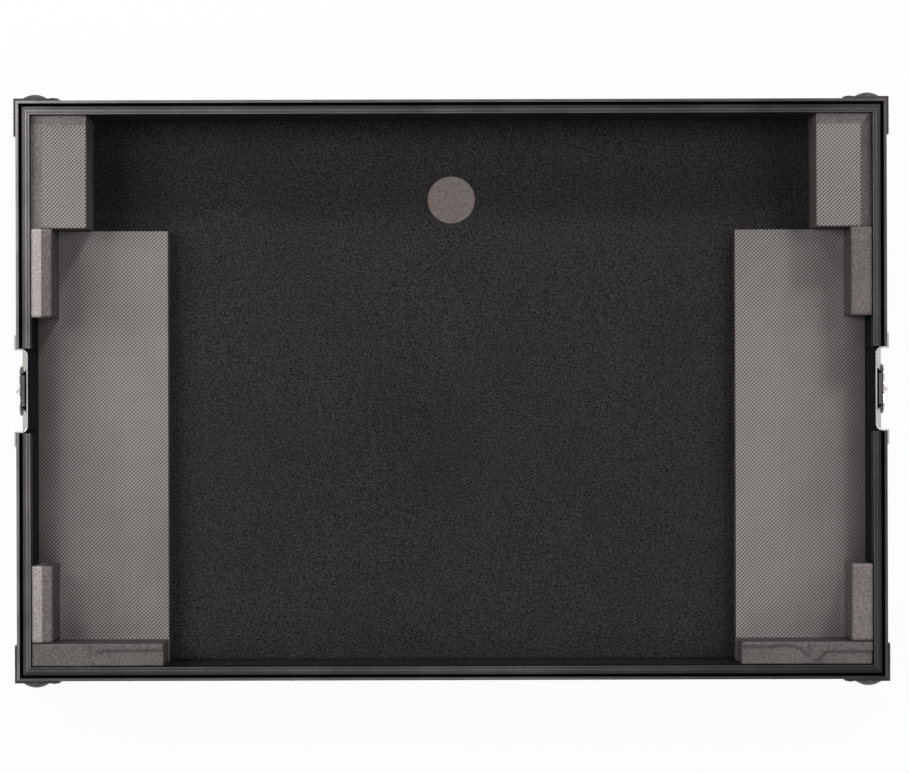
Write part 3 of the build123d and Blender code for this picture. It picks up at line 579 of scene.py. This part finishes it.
# %% Dress the rigid nodes
finishes = {
    "floor_panel": laminate,
    "front_rim": rim_front,
    "rear_rim": rim_rear,
    "rim_braces": powder_coat,
    "case_rivets": rivet_black,
    "latch_rivets": rivet_black,
    "rubber_feet": foot_rubber,
    "foot_washers": foot_zinc,
    "foot_screws": foot_zinc,
}
latch_finishes = {"dish": latch_chrome, "channel": latch_black, "hook": hook_zinc}
latch_finishes.update(hub=wing_chrome, pin=wing_chrome)
for side in (*ENDS, *DEPTHS):
    finishes[f"{side}_panel"] = laminate
    finishes[f"{side}_bottom_angle"] = anodised_y if side in ENDS else anodised_x
for end in ENDS:
    for depth in DEPTHS:
        finishes[f"{end}_rim_{depth}"] = rim_along_y
        finishes[f"corner_angle_{depth}_{end}"] = anodised_z
        finishes[f"ball_corner_{depth}_{end}"] = powder_coat
        finishes[f"{end}_latch_wing_{depth}"] = wing_chrome
    for piece, material in latch_finishes.items():
        finishes[f"{end}_latch_{piece}"] = material
for node, material in finishes.items():
    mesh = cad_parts[node].data
    mesh.materials.clear()
    mesh.materials.append(material)
print("dressed", len(finishes), "nodes")

# %% [markdown]
# Soft pieces are meshes of their own. Each is built in place, with its object left at the origin, so that
# patterns on object coordinates stay put, and then rides on the case in place of its CAD node, which is
# hidden.

# %% Helpers for soft pieces
WELD = 0.01 * MM


def mesh_object(name, bm, materials):
    """Turns a bmesh into an object at the origin with the given materials."""
    bmesh.ops.recalc_face_normals(bm, faces=bm.faces)
    mesh = bpy.data.meshes.new(name)
    bm.to_mesh(mesh)
    bm.free()
    for material in materials:
        mesh.materials.append(material)
    piece = bpy.data.objects.new(name, mesh)
    bpy.context.scene.collection.objects.link(piece)
    return piece


def settle(piece, node):
    """Rides a soft piece on the case, in place of its CAD solid."""
    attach(piece, "case")
    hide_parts(node)


def settle_foam(piece, node):
    """Does the same for a piece of foam."""
    settle(piece, node)


def axis_steps(low, high, step):
    """Evenly spaced values from low to high, about a step apart."""
    count = max(1, round((high - low) / step))
    return [low + (high - low) * i / count for i in range(count + 1)]


def add_quads(bm, rows, smooth=False):
    """Lays quads between rows of points."""
    verts = [[bm.verts.new(point) for point in row] for row in rows]
    for near, far in zip(verts, verts[1:]):
        for j in range(len(near) - 1):
            bm.faces.new((near[j], far[j], far[j + 1], near[j + 1])).smooth = smooth


def wander(point, size, seed):
    """Smooth noise in three directions, for a face that a blade or a hand left uneven."""
    where = point * 28.0 + Vector((seed * 7.3, seed * 3.1, seed * 5.7))
    return noise.noise_vector(where) * size


# %% [markdown]
# A foam block is a box that a blade cut: its faces wander by a few tenths of a millimetre, its long edges
# are nearly sharp, and pressed edges are a little round. The block is laid out as a grid of quads over all
# six faces, rounded by pulling points in towards an inner box, and then moved by smooth noise.

# %% Foam blocks
UNEVEN = 0.2 * MM
EDGE_RADIUS = 0.6 * MM
DIP_REACH = 12 * MM


def box_grid(bm, low, high, step):
    """Six faces of quads between two corners, welded at the edges."""
    spans = [axis_steps(low[i], high[i], step) for i in range(3)]
    for axis in range(3):
        u, v = [i for i in range(3) if i != axis]
        for level in (low[axis], high[axis]):

            def point(a, b):
                spot = [level] * 3
                spot[u], spot[v] = a, b
                return spot

            add_quads(bm, [[point(a, b) for b in spans[v]] for a in spans[u]])
    bmesh.ops.remove_doubles(bm, verts=bm.verts, dist=WELD)


def round_edges(point, low, high):
    """Moves a point of a box's surface onto the same box with rounded edges."""
    core = Vector([min(max(point[i], low[i] + EDGE_RADIUS), high[i] - EDGE_RADIUS) for i in range(3)])
    away = point - core
    return core + away.normalized() * EDGE_RADIUS if away.length > EDGE_RADIUS else point


def foam_block(name, low, high, materials, step, seed, dip=None):
    """A cut foam block between two corners. It stays inside them, and a dip lowers its top where it says."""
    bm = bmesh.new()
    box_grid(bm, low, high, step)
    inner_low = low + Vector((UNEVEN,) * 3)
    inner_high = high - Vector((UNEVEN,) * 3)
    for vert in bm.verts:
        shares = [(vert.co[i] - low[i]) / (high[i] - low[i]) for i in range(3)]
        shrunk = Vector([inner_low[i] + shares[i] * (inner_high[i] - inner_low[i]) for i in range(3)])
        moved = round_edges(shrunk, inner_low, inner_high)
        vert.co = moved + wander(moved, UNEVEN, seed)
        vert.co.z = max(vert.co.z, low.z)
        if shrunk.z <= inner_low.z + WELD:
            vert.co.z = low.z
        elif dip:
            share = max(0.0, 1.0 - (high.z - vert.co.z) / DIP_REACH)
            vert.co.z -= dip(vert.co.x, vert.co.y) * share
    for face in bm.faces:
        face.smooth = True
    return mesh_object(name, bm, materials)


# %% [markdown]
# The two front blocks are carved for the controller's front edge: a short slot where the carving starts, and
# from there a shallow hollow whose edge swings across the block. Each hollow is given by how far its edge
# lies from the block's rear face at a few places along the block, measured from the side wall. All are
# millimetres.

# %% Front blocks
HOLLOW_EDGES = {
    "left": [(0, 40), (50, 40), (57, 9), (64, 7), (118, 6)],
    "right": [(0, 9), (42, 9), (50, 17), (58, 13), (66, 6), (78, 3), (95, 5), (118, 4)],
}
HOLLOW_DEPTH = 2.2
HOLLOW_SLOPE = 1.5
SLOT_FROM_WALL = 55.0
SLOT_HALF_WIDTH = 2.6
SLOT_LENGTH = 17.0
SLOT_SLOPE = 5.0
SLOT_DEPTH = 3.0


def smooth_share(value, low, high):
    """Rises smoothly from 0 to 1 between two values."""
    share = min(max((value - low) / (high - low), 0.0), 1.0)
    return share * share * (3.0 - 2.0 * share)


def front_dip(end, wall_x, rear_y):
    """Gives the function that carves a front block."""
    edges = HOLLOW_EDGES[end]

    def dip(x, y):
        along = abs(x - wall_x) / MM
        inwards = (rear_y - y) / MM
        edge = edges[-1][1]
        for (a, b), (c, d) in zip(edges, edges[1:]):
            if a <= along <= c:
                edge = b + (d - b) * (along - a) / (c - a)
        hollow = HOLLOW_DEPTH * smooth_share(inwards, edge - HOLLOW_SLOPE, edge + HOLLOW_SLOPE)
        across_slot = math.exp(-(((along - SLOT_FROM_WALL) / SLOT_HALF_WIDTH) ** 2))
        slot = SLOT_DEPTH * across_slot * smooth_share(SLOT_LENGTH - inwards, 0.0, SLOT_SLOPE)
        return max(hollow, slot) * MM

    return dip


for end in ENDS:
    node = f"{end}_front_block"
    low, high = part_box(node)
    dip = front_dip(end, low.x if end == "left" else high.x, high.y)
    block = foam_block(f"foam_front_block_{end}", low, high, [foam_front], 1.6 * MM, 3 + ENDS[end], dip)
    settle_foam(block, node)
    print("front block", end, len(block.data.polygons), "faces")

# %% Side blocks, two layers on the left and one on the right
SEAM_DEPTH = 0.3 * MM


def side_block(end, depth):
    """Block by a side wall. On the left a seam parts a paler outer layer of painted sheen from a darker inner
    one.
    """
    node = f"{end}_side_block_{depth}"
    low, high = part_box(node)
    step = (high.x - low.x) / 6
    seam = (low.x + high.x) / 2
    # On the left the paler outer layers carry painted sheen, and on the right the front block is the lighter
    # copy, painted light.
    if end == "left":
        foams = [foam_cut, foam_painted_sheen_strong if depth == "rear" else foam_painted_sheen]
    else:
        foams = [foam_painted_light if depth == "front" else foam_cut]

    def seam_dip(x, y):
        return SEAM_DEPTH if len(foams) > 1 and abs(x - seam) < 0.2 * step else 0.0

    seed = 11 + 2 * ENDS[end] + DEPTHS[depth]
    piece = foam_block(f"foam_side_block_{end}_{depth}", low, high, foams, step, seed, seam_dip)
    if len(foams) > 1:
        for face in piece.data.polygons:
            face.material_index = 1 if face.center.x < seam else 0
    settle_foam(piece, node)


for end in ENDS:
    for depth in DEPTHS:
        side_block(end, depth)

# %% [markdown]
# The liner round a corner block is two strips of sheet that meet at a 45 degree cut. Each strip is laid out
# lengthways as a loft of its own outline, so the mitre stays a clean straight line.

# %% Corner liners
SEAM = 0.1 * MM
STRIP_UNEVEN = 0.15 * MM
STRIP_TOP_DROP = 0.25 * MM


def strip_block(name, corners, low, high, material, steps_along, seed):
    """Upright strip whose outline has four corners: outer start and end, then inner end and start."""
    outer_a, outer_b, inner_b, inner_a = [Vector((*corner, 0.0)) for corner in corners]
    shares = axis_steps(0.0, 1.0, 1.0 / steps_along)
    levels = axis_steps(low, high, 5 * MM)
    across = axis_steps(0.0, 1.0, 0.25)
    bm = bmesh.new()

    def point(share, side, level):
        spot = outer_a.lerp(outer_b, share).lerp(inner_a.lerp(inner_b, share), side)
        moved = wander(spot, STRIP_UNEVEN, seed) if level > low else Vector()
        spot.z = level - (STRIP_TOP_DROP * (2 * side - 1) ** 4 if level == high else 0.0)
        return spot + moved

    for side in (0.0, 1.0):
        add_quads(bm, [[point(share, side, level) for level in levels] for share in shares])
    for share in (0.0, 1.0):
        add_quads(bm, [[point(share, side, level) for level in levels] for side in across])
    for level in (low, high):
        add_quads(bm, [[point(share, side, level) for side in across] for share in shares])
    bmesh.ops.remove_doubles(bm, verts=bm.verts, dist=WELD)
    return mesh_object(name, bm, [material])


def corner_liner(end):
    """The two strips of one rear corner."""
    node = f"{end}_corner_liner"
    low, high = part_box(node)
    block_low, block_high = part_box(f"{end}_corner_block")
    out = ENDS[end]
    wall_x, end_x, inner_x = (low.x, high.x, block_low.x) if end == "left" else (high.x, low.x, block_high.x)
    inner_x += out * SEAM
    inner_y = block_high.y + SEAM
    along_wall = ((wall_x, high.y), (wall_x, low.y), (inner_x, low.y), (inner_x, inner_y))
    along_rear = ((wall_x, high.y), (end_x, high.y), (end_x, inner_y), (inner_x, inner_y))
    # The strip along the left wall and both rear strips are painted light, and the strip along the right wall
    # is painted shade.
    wall_foam = foam_painted_light if end == "left" else foam_painted_shade
    pieces = [
        strip_block(f"foam_liner_wall_{end}", along_wall, low.z, high.z, wall_foam, 18, seed=31 + out),
        strip_block(f"foam_liner_rear_{end}", along_rear, low.z, high.z, foam_painted_light, 10, seed=35 + out),
    ]
    for piece in pieces:
        settle_foam(piece, node)
    return pieces


for end in ENDS:
    print("liner", [piece.name for piece in corner_liner(end)])

# %% [markdown]
# The textured tops follow a rule, so Geometry Nodes shape them. The top of a block is a fine grid with lines
# through the middle of every pit and every ridge, and the tree sinks each of its points by the wave.

# %% Geometry Nodes for the moulded texture
PIT_DEPTH = 0.9 * MM


def make_emboss_tree():
    tree, source, target = new_group(
        "Moulded Pits", "GeometryNodeTree", {"Geometry": "Geometry", "Top": "Float"}, {"Geometry": "Geometry"}
    )
    place = separate(tree, add_node(tree, "GeometryNodeInputPosition").outputs[0])
    pit = remap(tree, pit_wave(tree, place), -0.2, 1.0, 0.0, -PIT_DEPTH)
    on_top = maths(tree, "GREATER_THAN", place["Z"], maths(tree, "SUBTRACT", source["Top"], 0.05 * MM))
    shift = add_node(tree, "ShaderNodeCombineXYZ", {"Z": maths(tree, "MULTIPLY", pit, on_top)}).outputs[0]
    moved = add_node(tree, "GeometryNodeSetPosition", {"Geometry": source["Geometry"], "Offset": shift})
    sides = {"Geometry": moved.outputs[0], "Material": foam_cut}
    sides = add_node(tree, "GeometryNodeSetMaterial", sides).outputs[0]
    normal = separate(tree, add_node(tree, "GeometryNodeInputNormal").outputs[0])
    compare = {"operation": "GREATER_THAN", "data_type": "FLOAT"}
    upward = add_node(tree, "FunctionNodeCompare", {0: normal["Z"], 1: 0.3}, **compare).outputs[0]
    tops = {"Geometry": sides, "Selection": upward, "Material": foam_textured}
    tree.links.new(add_node(tree, "GeometryNodeSetMaterial", tops).outputs[0], target["Geometry"])
    return tree


emboss_tree = make_emboss_tree()


def apply_tree(piece, tree, values):
    """Runs a Geometry Nodes tree on a piece once and keeps the plain mesh."""
    modifier = piece.modifiers.new("texture", "NODES")
    modifier.node_group = tree
    for item in tree.interface.items_tree:
        if item.in_out == "INPUT" and item.name in values:
            modifier[item.identifier] = values[item.name]
    bpy.context.view_layer.update()
    evaluated = piece.evaluated_get(bpy.context.evaluated_depsgraph_get())
    result = bpy.data.meshes.new_from_object(evaluated)
    piece.modifiers.clear()
    old = piece.data
    piece.data = result
    result.name = old.name
    bpy.data.meshes.remove(old)


# %% Textured blocks
def lattice_steps(low, high):
    """Borders, and between them every multiple of a quarter of the pitch."""
    quarter = PITCH / 4
    first = math.ceil((low + 0.2 * quarter) / quarter)
    last = math.floor((high - 0.2 * quarter) / quarter)
    return [low, *[i * quarter for i in range(first, last + 1)], high]


def top_grid_block(name, low, high, seed):
    """Closed block whose top is a fine grid and whose sides are coarse and slightly uneven."""
    bm = bmesh.new()
    ys = lattice_steps(low.y, high.y)
    add_quads(bm, [[(x, y, high.z) for y in ys] for x in lattice_steps(low.x, high.x)], smooth=True)
    border = [edge for edge in bm.edges if edge.is_boundary]
    levels = axis_steps(high.z, low.z, -0.25 * (high.z - low.z))
    for level in levels[1:]:
        grown = bmesh.ops.extrude_edge_only(bm, edges=border)["geom"]
        for vert in [item for item in grown if isinstance(item, bmesh.types.BMVert)]:
            vert.co.z = level
            if level > low.z + 0.1 * MM:
                push = wander(vert.co, 0.25 * MM, seed)
                vert.co.x = min(max(vert.co.x + push.x, low.x), high.x)
                vert.co.y = min(max(vert.co.y + push.y, low.y), high.y)
        border = [item for item in grown if isinstance(item, bmesh.types.BMEdge) and item.is_boundary]
    bmesh.ops.holes_fill(bm, edges=border)
    return mesh_object(name, bm, [foam_cut, foam_textured])


def textured_block(name, node, seed):
    """A pad or a corner block."""
    low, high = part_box(node)
    piece = top_grid_block(name, low, high, seed)
    apply_tree(piece, emboss_tree, {"Top": high.z})
    settle_foam(piece, node)
    return piece


for end in ENDS:
    pad = textured_block(f"foam_pad_{end}", f"{end}_pad", seed=41 + ENDS[end])
    corner = textured_block(f"foam_corner_block_{end}", f"{end}_corner_block", seed=45 + ENDS[end])
    print(end, "pad", len(pad.data.polygons), "faces, corner block", len(corner.data.polygons))

# %% [markdown]
# Felt is a thin sheet glued to the board. On the floor it lies flat with faint waves, and its edge at the
# cable hole is cut by hand: soft, and a little uneven. The floor felt is a fan of rays that run from the
# hole's edge to the border of the rectangle, so the round edge is really round.

# %% Floor felt
CABLE_HOLE_RADIUS = 22 * MM
CABLE_HOLE_FROM_REAR = 73 * MM
HOLE_EDGE_ROUNDING = 0.6 * MM
RAYS = 360
RAY_STEPS = 150
CORNER_CLEARANCE = 0.004
hole_y = felt_high.y - CABLE_HOLE_FROM_REAR


def felt_level(x, y):
    """Height of the felt's top: flat, with faint waves and a pucker beside the hole."""
    waves = noise.noise(Vector((x * 14, y * 14, 0.7))) * 0.25 * MM
    from_pucker = Vector((x - 1.25 * CABLE_HOLE_RADIUS, y - hole_y)).length
    pucker = 0.25 * MM * math.exp(-((from_pucker / (5 * MM)) ** 2))
    return floor_top - 0.3 * MM + waves + pucker


def ray_angles():
    """Even directions round the hole, and the four that lead to the corners of the felt."""
    corners = [(x, y) for x in (felt_low.x, felt_high.x) for y in (felt_low.y, felt_high.y)]
    to_corners = [math.atan2(y - hole_y, x) % math.tau for x, y in corners]
    even = [i / RAYS * math.tau for i in range(RAYS)]
    clear = [a for a in even if min(abs(a - corner) for corner in to_corners) > CORNER_CLEARANCE]
    return sorted(to_corners + clear)


def border_reach(dx, dy):
    """How far the felt's border lies from the middle of the hole in one direction."""
    reaches = []
    if abs(dx) > 1e-9:
        reaches.append((felt_high.x if dx > 0 else felt_low.x) / dx)
    if abs(dy) > 1e-9:
        reaches.append(((felt_high.y if dy > 0 else felt_low.y) - hole_y) / dy)
    return min(reaches)


def floor_felt():
    """Closed thin sheet with a round hole, laid out as rays from the hole to the border."""
    bm = bmesh.new()
    base = felt_low.z
    rays = []
    for angle in ray_angles():
        dx, dy = math.cos(angle), math.sin(angle)
        reach = border_reach(dx, dy)
        uneven = noise.noise(Vector((dx * 3, dy * 3, 2.0))) * 0.3 * MM
        start = CABLE_HOLE_RADIUS - 0.4 * MM + uneven
        top_start = start + HOLE_EDGE_ROUNDING
        profile = [(start, base), (start, base + 0.5 * MM), (start + 0.15 * MM, base + 0.95 * MM)]
        for i in range(RAY_STEPS + 1):
            radius = top_start + (reach - top_start) * (i / RAY_STEPS) ** 1.35
            profile.append((radius, felt_level(dx * radius, hole_y + dy * radius)))
        profile.append((reach, base))
        rays.append([bm.verts.new((dx * r, hole_y + dy * r, z)) for r, z in profile])
    for a, b in zip(rays, rays[1:] + rays[:1]):
        for j in range(len(a) - 1):
            bm.faces.new((a[j], a[j + 1], b[j + 1], b[j])).smooth = True
        bm.faces.new((a[-1], a[0], b[0], b[-1]))
    return mesh_object("felt_floor", bm, [floor_felt_finish])


felt = floor_felt()
settle(felt, "floor_felt")
print("floor felt", len(felt.data.polygons), "faces")

# %% [markdown]
# The felt of a wall ends under the tongue of the rim. At the two ends the rim is cut away for the latch, and
# there the felt rises to the top of the wall, over the width of the latch dish.

# %% Wall felts
HALF_DISH = 37.7 * MM
RIM_TONGUE = 16 * MM
FELT_STEP = 6 * MM


def wall_felt(side):
    """Thin upright sheet with a soft top edge, glued to a wall panel."""
    node = f"{side}_felt"
    low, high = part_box(node)
    at_end = side in ENDS
    rim_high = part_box(f"{side}_rim_front" if at_end else f"{side}_rim")[1]
    usual_top = min(high.z, rim_high.z - RIM_TONGUE)
    run, depth = (1, 0) if at_end else (0, 1)
    outward = ENDS[side] if at_end else DEPTHS[side]
    wall = high[depth] if outward > 0 else low[depth]
    thickness = high[depth] - low[depth]
    breaks = [low[run], -HALF_DISH, HALF_DISH, high[run]] if at_end else [low[run], high[run]]
    bm = bmesh.new()
    for start, stop in zip(breaks, breaks[1:]):
        top = high.z if start == -HALF_DISH else usual_top
        profile = [(0.0, low.z), (0.0, top), (0.35, top), (0.8, top - 0.3 * MM), (1.0, top - 1.0 * MM)]
        profile += [(1.0, level) for level in axis_steps(top - 3 * MM, low.z, -FELT_STEP)]
        rows = []
        for place in axis_steps(start, stop, FELT_STEP):
            row = []
            for share, level in profile:
                bulge = noise.noise(Vector((place * 30, level * 30, outward * 3.0))) if share == 1.0 else 0.0
                spot = Vector((0.0, 0.0, level))
                spot[run] = place
                spot[depth] = wall - outward * thickness * min(1.0, share * (0.93 + bulge * 0.06))
                row.append(bm.verts.new(spot))
            rows.append(row)
        last = len(profile) - 1
        for near, far in zip(rows, rows[1:]):
            for j in range(last + 1):
                k = 0 if j == last else j + 1
                bm.faces.new((near[j], far[j], far[k], near[k])).smooth = 0 < j < last
        bm.faces.new(rows[0])
        bm.faces.new(rows[-1])
    piece = mesh_object(f"felt_wall_{side}", bm, [wall_felt_finishes[side]])
    settle(piece, node)
    return piece


for side in (*DEPTHS, *ENDS):
    print("wall felt", side, len(wall_felt(side).data.polygons), "faces")

# %% [markdown]
# The camera looks straight down from almost three metres over the rim. The upright faces that show in the
# picture all lean away from one pixel, which is the point right under the lens, and it lies a little off the
# middle of the picture, so the picture was cropped: the lens shift puts that point back. The lens follows
# from the scale at the rim and the distance, and the roll is the fraction of a degree that the picture is
# turned.

# %% Camera
IMAGE_WIDTH = 909
IMAGE_HEIGHT = 773
SENSOR = 36.0
METRES_PER_PIXEL = 0.895 * MM
CAMERA_DISTANCE = 2.82
CASE_CENTRE_PIXEL = (451.8, 389.7)
BELOW_LENS_PIXEL = (452.0, 400.0)
ROLL = math.radians(-0.17)

camera_data = bpy.data.cameras.new("overhead_camera")
camera_data.sensor_width = SENSOR
camera_data.lens = CAMERA_DISTANCE / METRES_PER_PIXEL / IMAGE_WIDTH * SENSOR
camera_data.shift_x = (IMAGE_WIDTH / 2 - BELOW_LENS_PIXEL[0]) / IMAGE_WIDTH
camera_data.shift_y = (BELOW_LENS_PIXEL[1] - IMAGE_HEIGHT / 2) / IMAGE_WIDTH
camera_data.clip_end = 50.0
camera = bpy.data.objects.new("overhead_camera", camera_data)
camera.location = (
    (BELOW_LENS_PIXEL[0] - CASE_CENTRE_PIXEL[0]) * METRES_PER_PIXEL,
    (CASE_CENTRE_PIXEL[1] - BELOW_LENS_PIXEL[1]) * METRES_PER_PIXEL,
    rim_top + CAMERA_DISTANCE,
)
camera.rotation_euler = (0.0, 0.0, ROLL)
bpy.context.scene.collection.objects.link(camera)
bpy.context.scene.camera = camera
print("lens", camera_data.lens)

# %% [markdown]
# The studio is a white floor, soft lamps on both sides and behind, and a weak one in front. The side lamps
# stand high, so the walls and the blocks drop soft shadows towards the middle of the case, as in the
# picture. Floor and world are plain white to the camera and in reflections. Under the case a grey card, which
# glows its own grey to the camera, is a painted shadow of the floor and shows through the cable hole.

# %% Studio
WHITE = (1.0, 1.0, 1.0)
SOFT_LIGHT_FROM_WORLD = 0.03
LAMPS = [
    ("lamp_left", (-0.90, 0.35, 1.31), 0.4, 5.7),
    ("lamp_far_left", (-1.60, 0.40, 1.31), 0.6, 12.0),
    ("lamp_right", (0.95, 0.40, 1.31), 0.4, 3.2),
    ("lamp_far_right", (1.60, 0.40, 1.31), 0.6, 6.5),
    ("lamp_rear_right", (1.20, 2.85, 2.41), 0.5, 42.0),
    ("lamp_rear_left", (-1.20, 2.50, 2.11), 0.5, 11.5),
    ("lamp_front", (0.0, -0.70, 1.51), 0.6, 3.4),
]


def seen_directly(tree):
    """One for rays from the camera, from reflections and through clear things, and nothing for soft light."""
    path = add_node(tree, "ShaderNodeLightPath").outputs
    seen = maths(tree, "MAXIMUM", path["Is Camera Ray"], path["Is Glossy Ray"])
    return maths(tree, "MAXIMUM", seen, path["Is Transmission Ray"])


def add_glow(tree, shader, share, colour):
    """Replaces a share of a surface's light by a plain glow."""
    glow = add_node(tree, "ShaderNodeEmission", {"Color": colour, "Strength": 1.0}).outputs[0]
    mix = add_node(tree, "ShaderNodeMixShader", {0: share, 1: shader.outputs[0], 2: glow}).outputs[0]
    tree.links.new(mix, tree.nodes["Material Output"].inputs["Surface"])


def make_floor_finish():
    material, tree, shader, _ = start_material("studio_floor", Roughness=0.9)
    fill(tree, shader.inputs["Base Color"], (0.9, 0.9, 0.9))
    add_glow(tree, shader, maths(tree, "MULTIPLY", seen_directly(tree), 0.96), WHITE)
    return material


def make_shadow_card_finish():
    material, tree, shader, _ = start_material("painted_shadow_card", Roughness=0.9)
    mottle = spread(tree, plain_noise(tree, object_place(tree), scale=300.0, detail=4.0), 0.0, 1.0)
    grey = colour_between(tree, mottle, (0.130, 0.110, 0.107), (0.198, 0.170, 0.165))
    tree.links.new(grey, shader.inputs["Base Color"])
    # The card glows its own grey to the camera: a painted shadow of the floor under the case.
    seen = add_node(tree, "ShaderNodeLightPath").outputs["Is Camera Ray"]
    add_glow(tree, shader, maths(tree, "MULTIPLY", seen, 0.9), grey)
    return material


def stage_plane(name, half_x, half_y, level, material):
    """A flat rectangle of the studio."""
    bm = bmesh.new()
    corners = ((-half_x, -half_y), (half_x, -half_y), (half_x, half_y), (-half_x, half_y))
    bm.faces.new([bm.verts.new((x, y, level)) for x, y in corners])
    mesh_object(name, bm, [material])


stage_plane("studio_floor", 6.0, 6.0, -0.5 * MM, make_floor_finish())
stage_plane("painted_shadow_card", 0.30, 0.20, 0.0, make_shadow_card_finish())
for name, place, size, power in LAMPS:
    data = bpy.data.lights.new(name, "AREA")
    data.size = size
    data.energy = power
    lamp = bpy.data.objects.new(name, data)
    lamp.location = place
    direction = Vector((0.0, 0.0, rim_top)) - Vector(place)
    lamp.rotation_euler = direction.to_track_quat("-Z", "Y").to_euler()
    bpy.context.scene.collection.objects.link(lamp)

world = bpy.data.worlds.new("soft_white")
world.use_nodes = True
bpy.context.scene.world = world
tree = world.node_tree
background = tree.nodes["Background"].inputs
fill(tree, background["Strength"], remap(tree, seen_directly(tree), 0.0, 1.0, SOFT_LIGHT_FROM_WORLD, 1.0))
fill(tree, background["Color"], WHITE)
bpy.context.scene.view_settings.view_transform = "Standard"
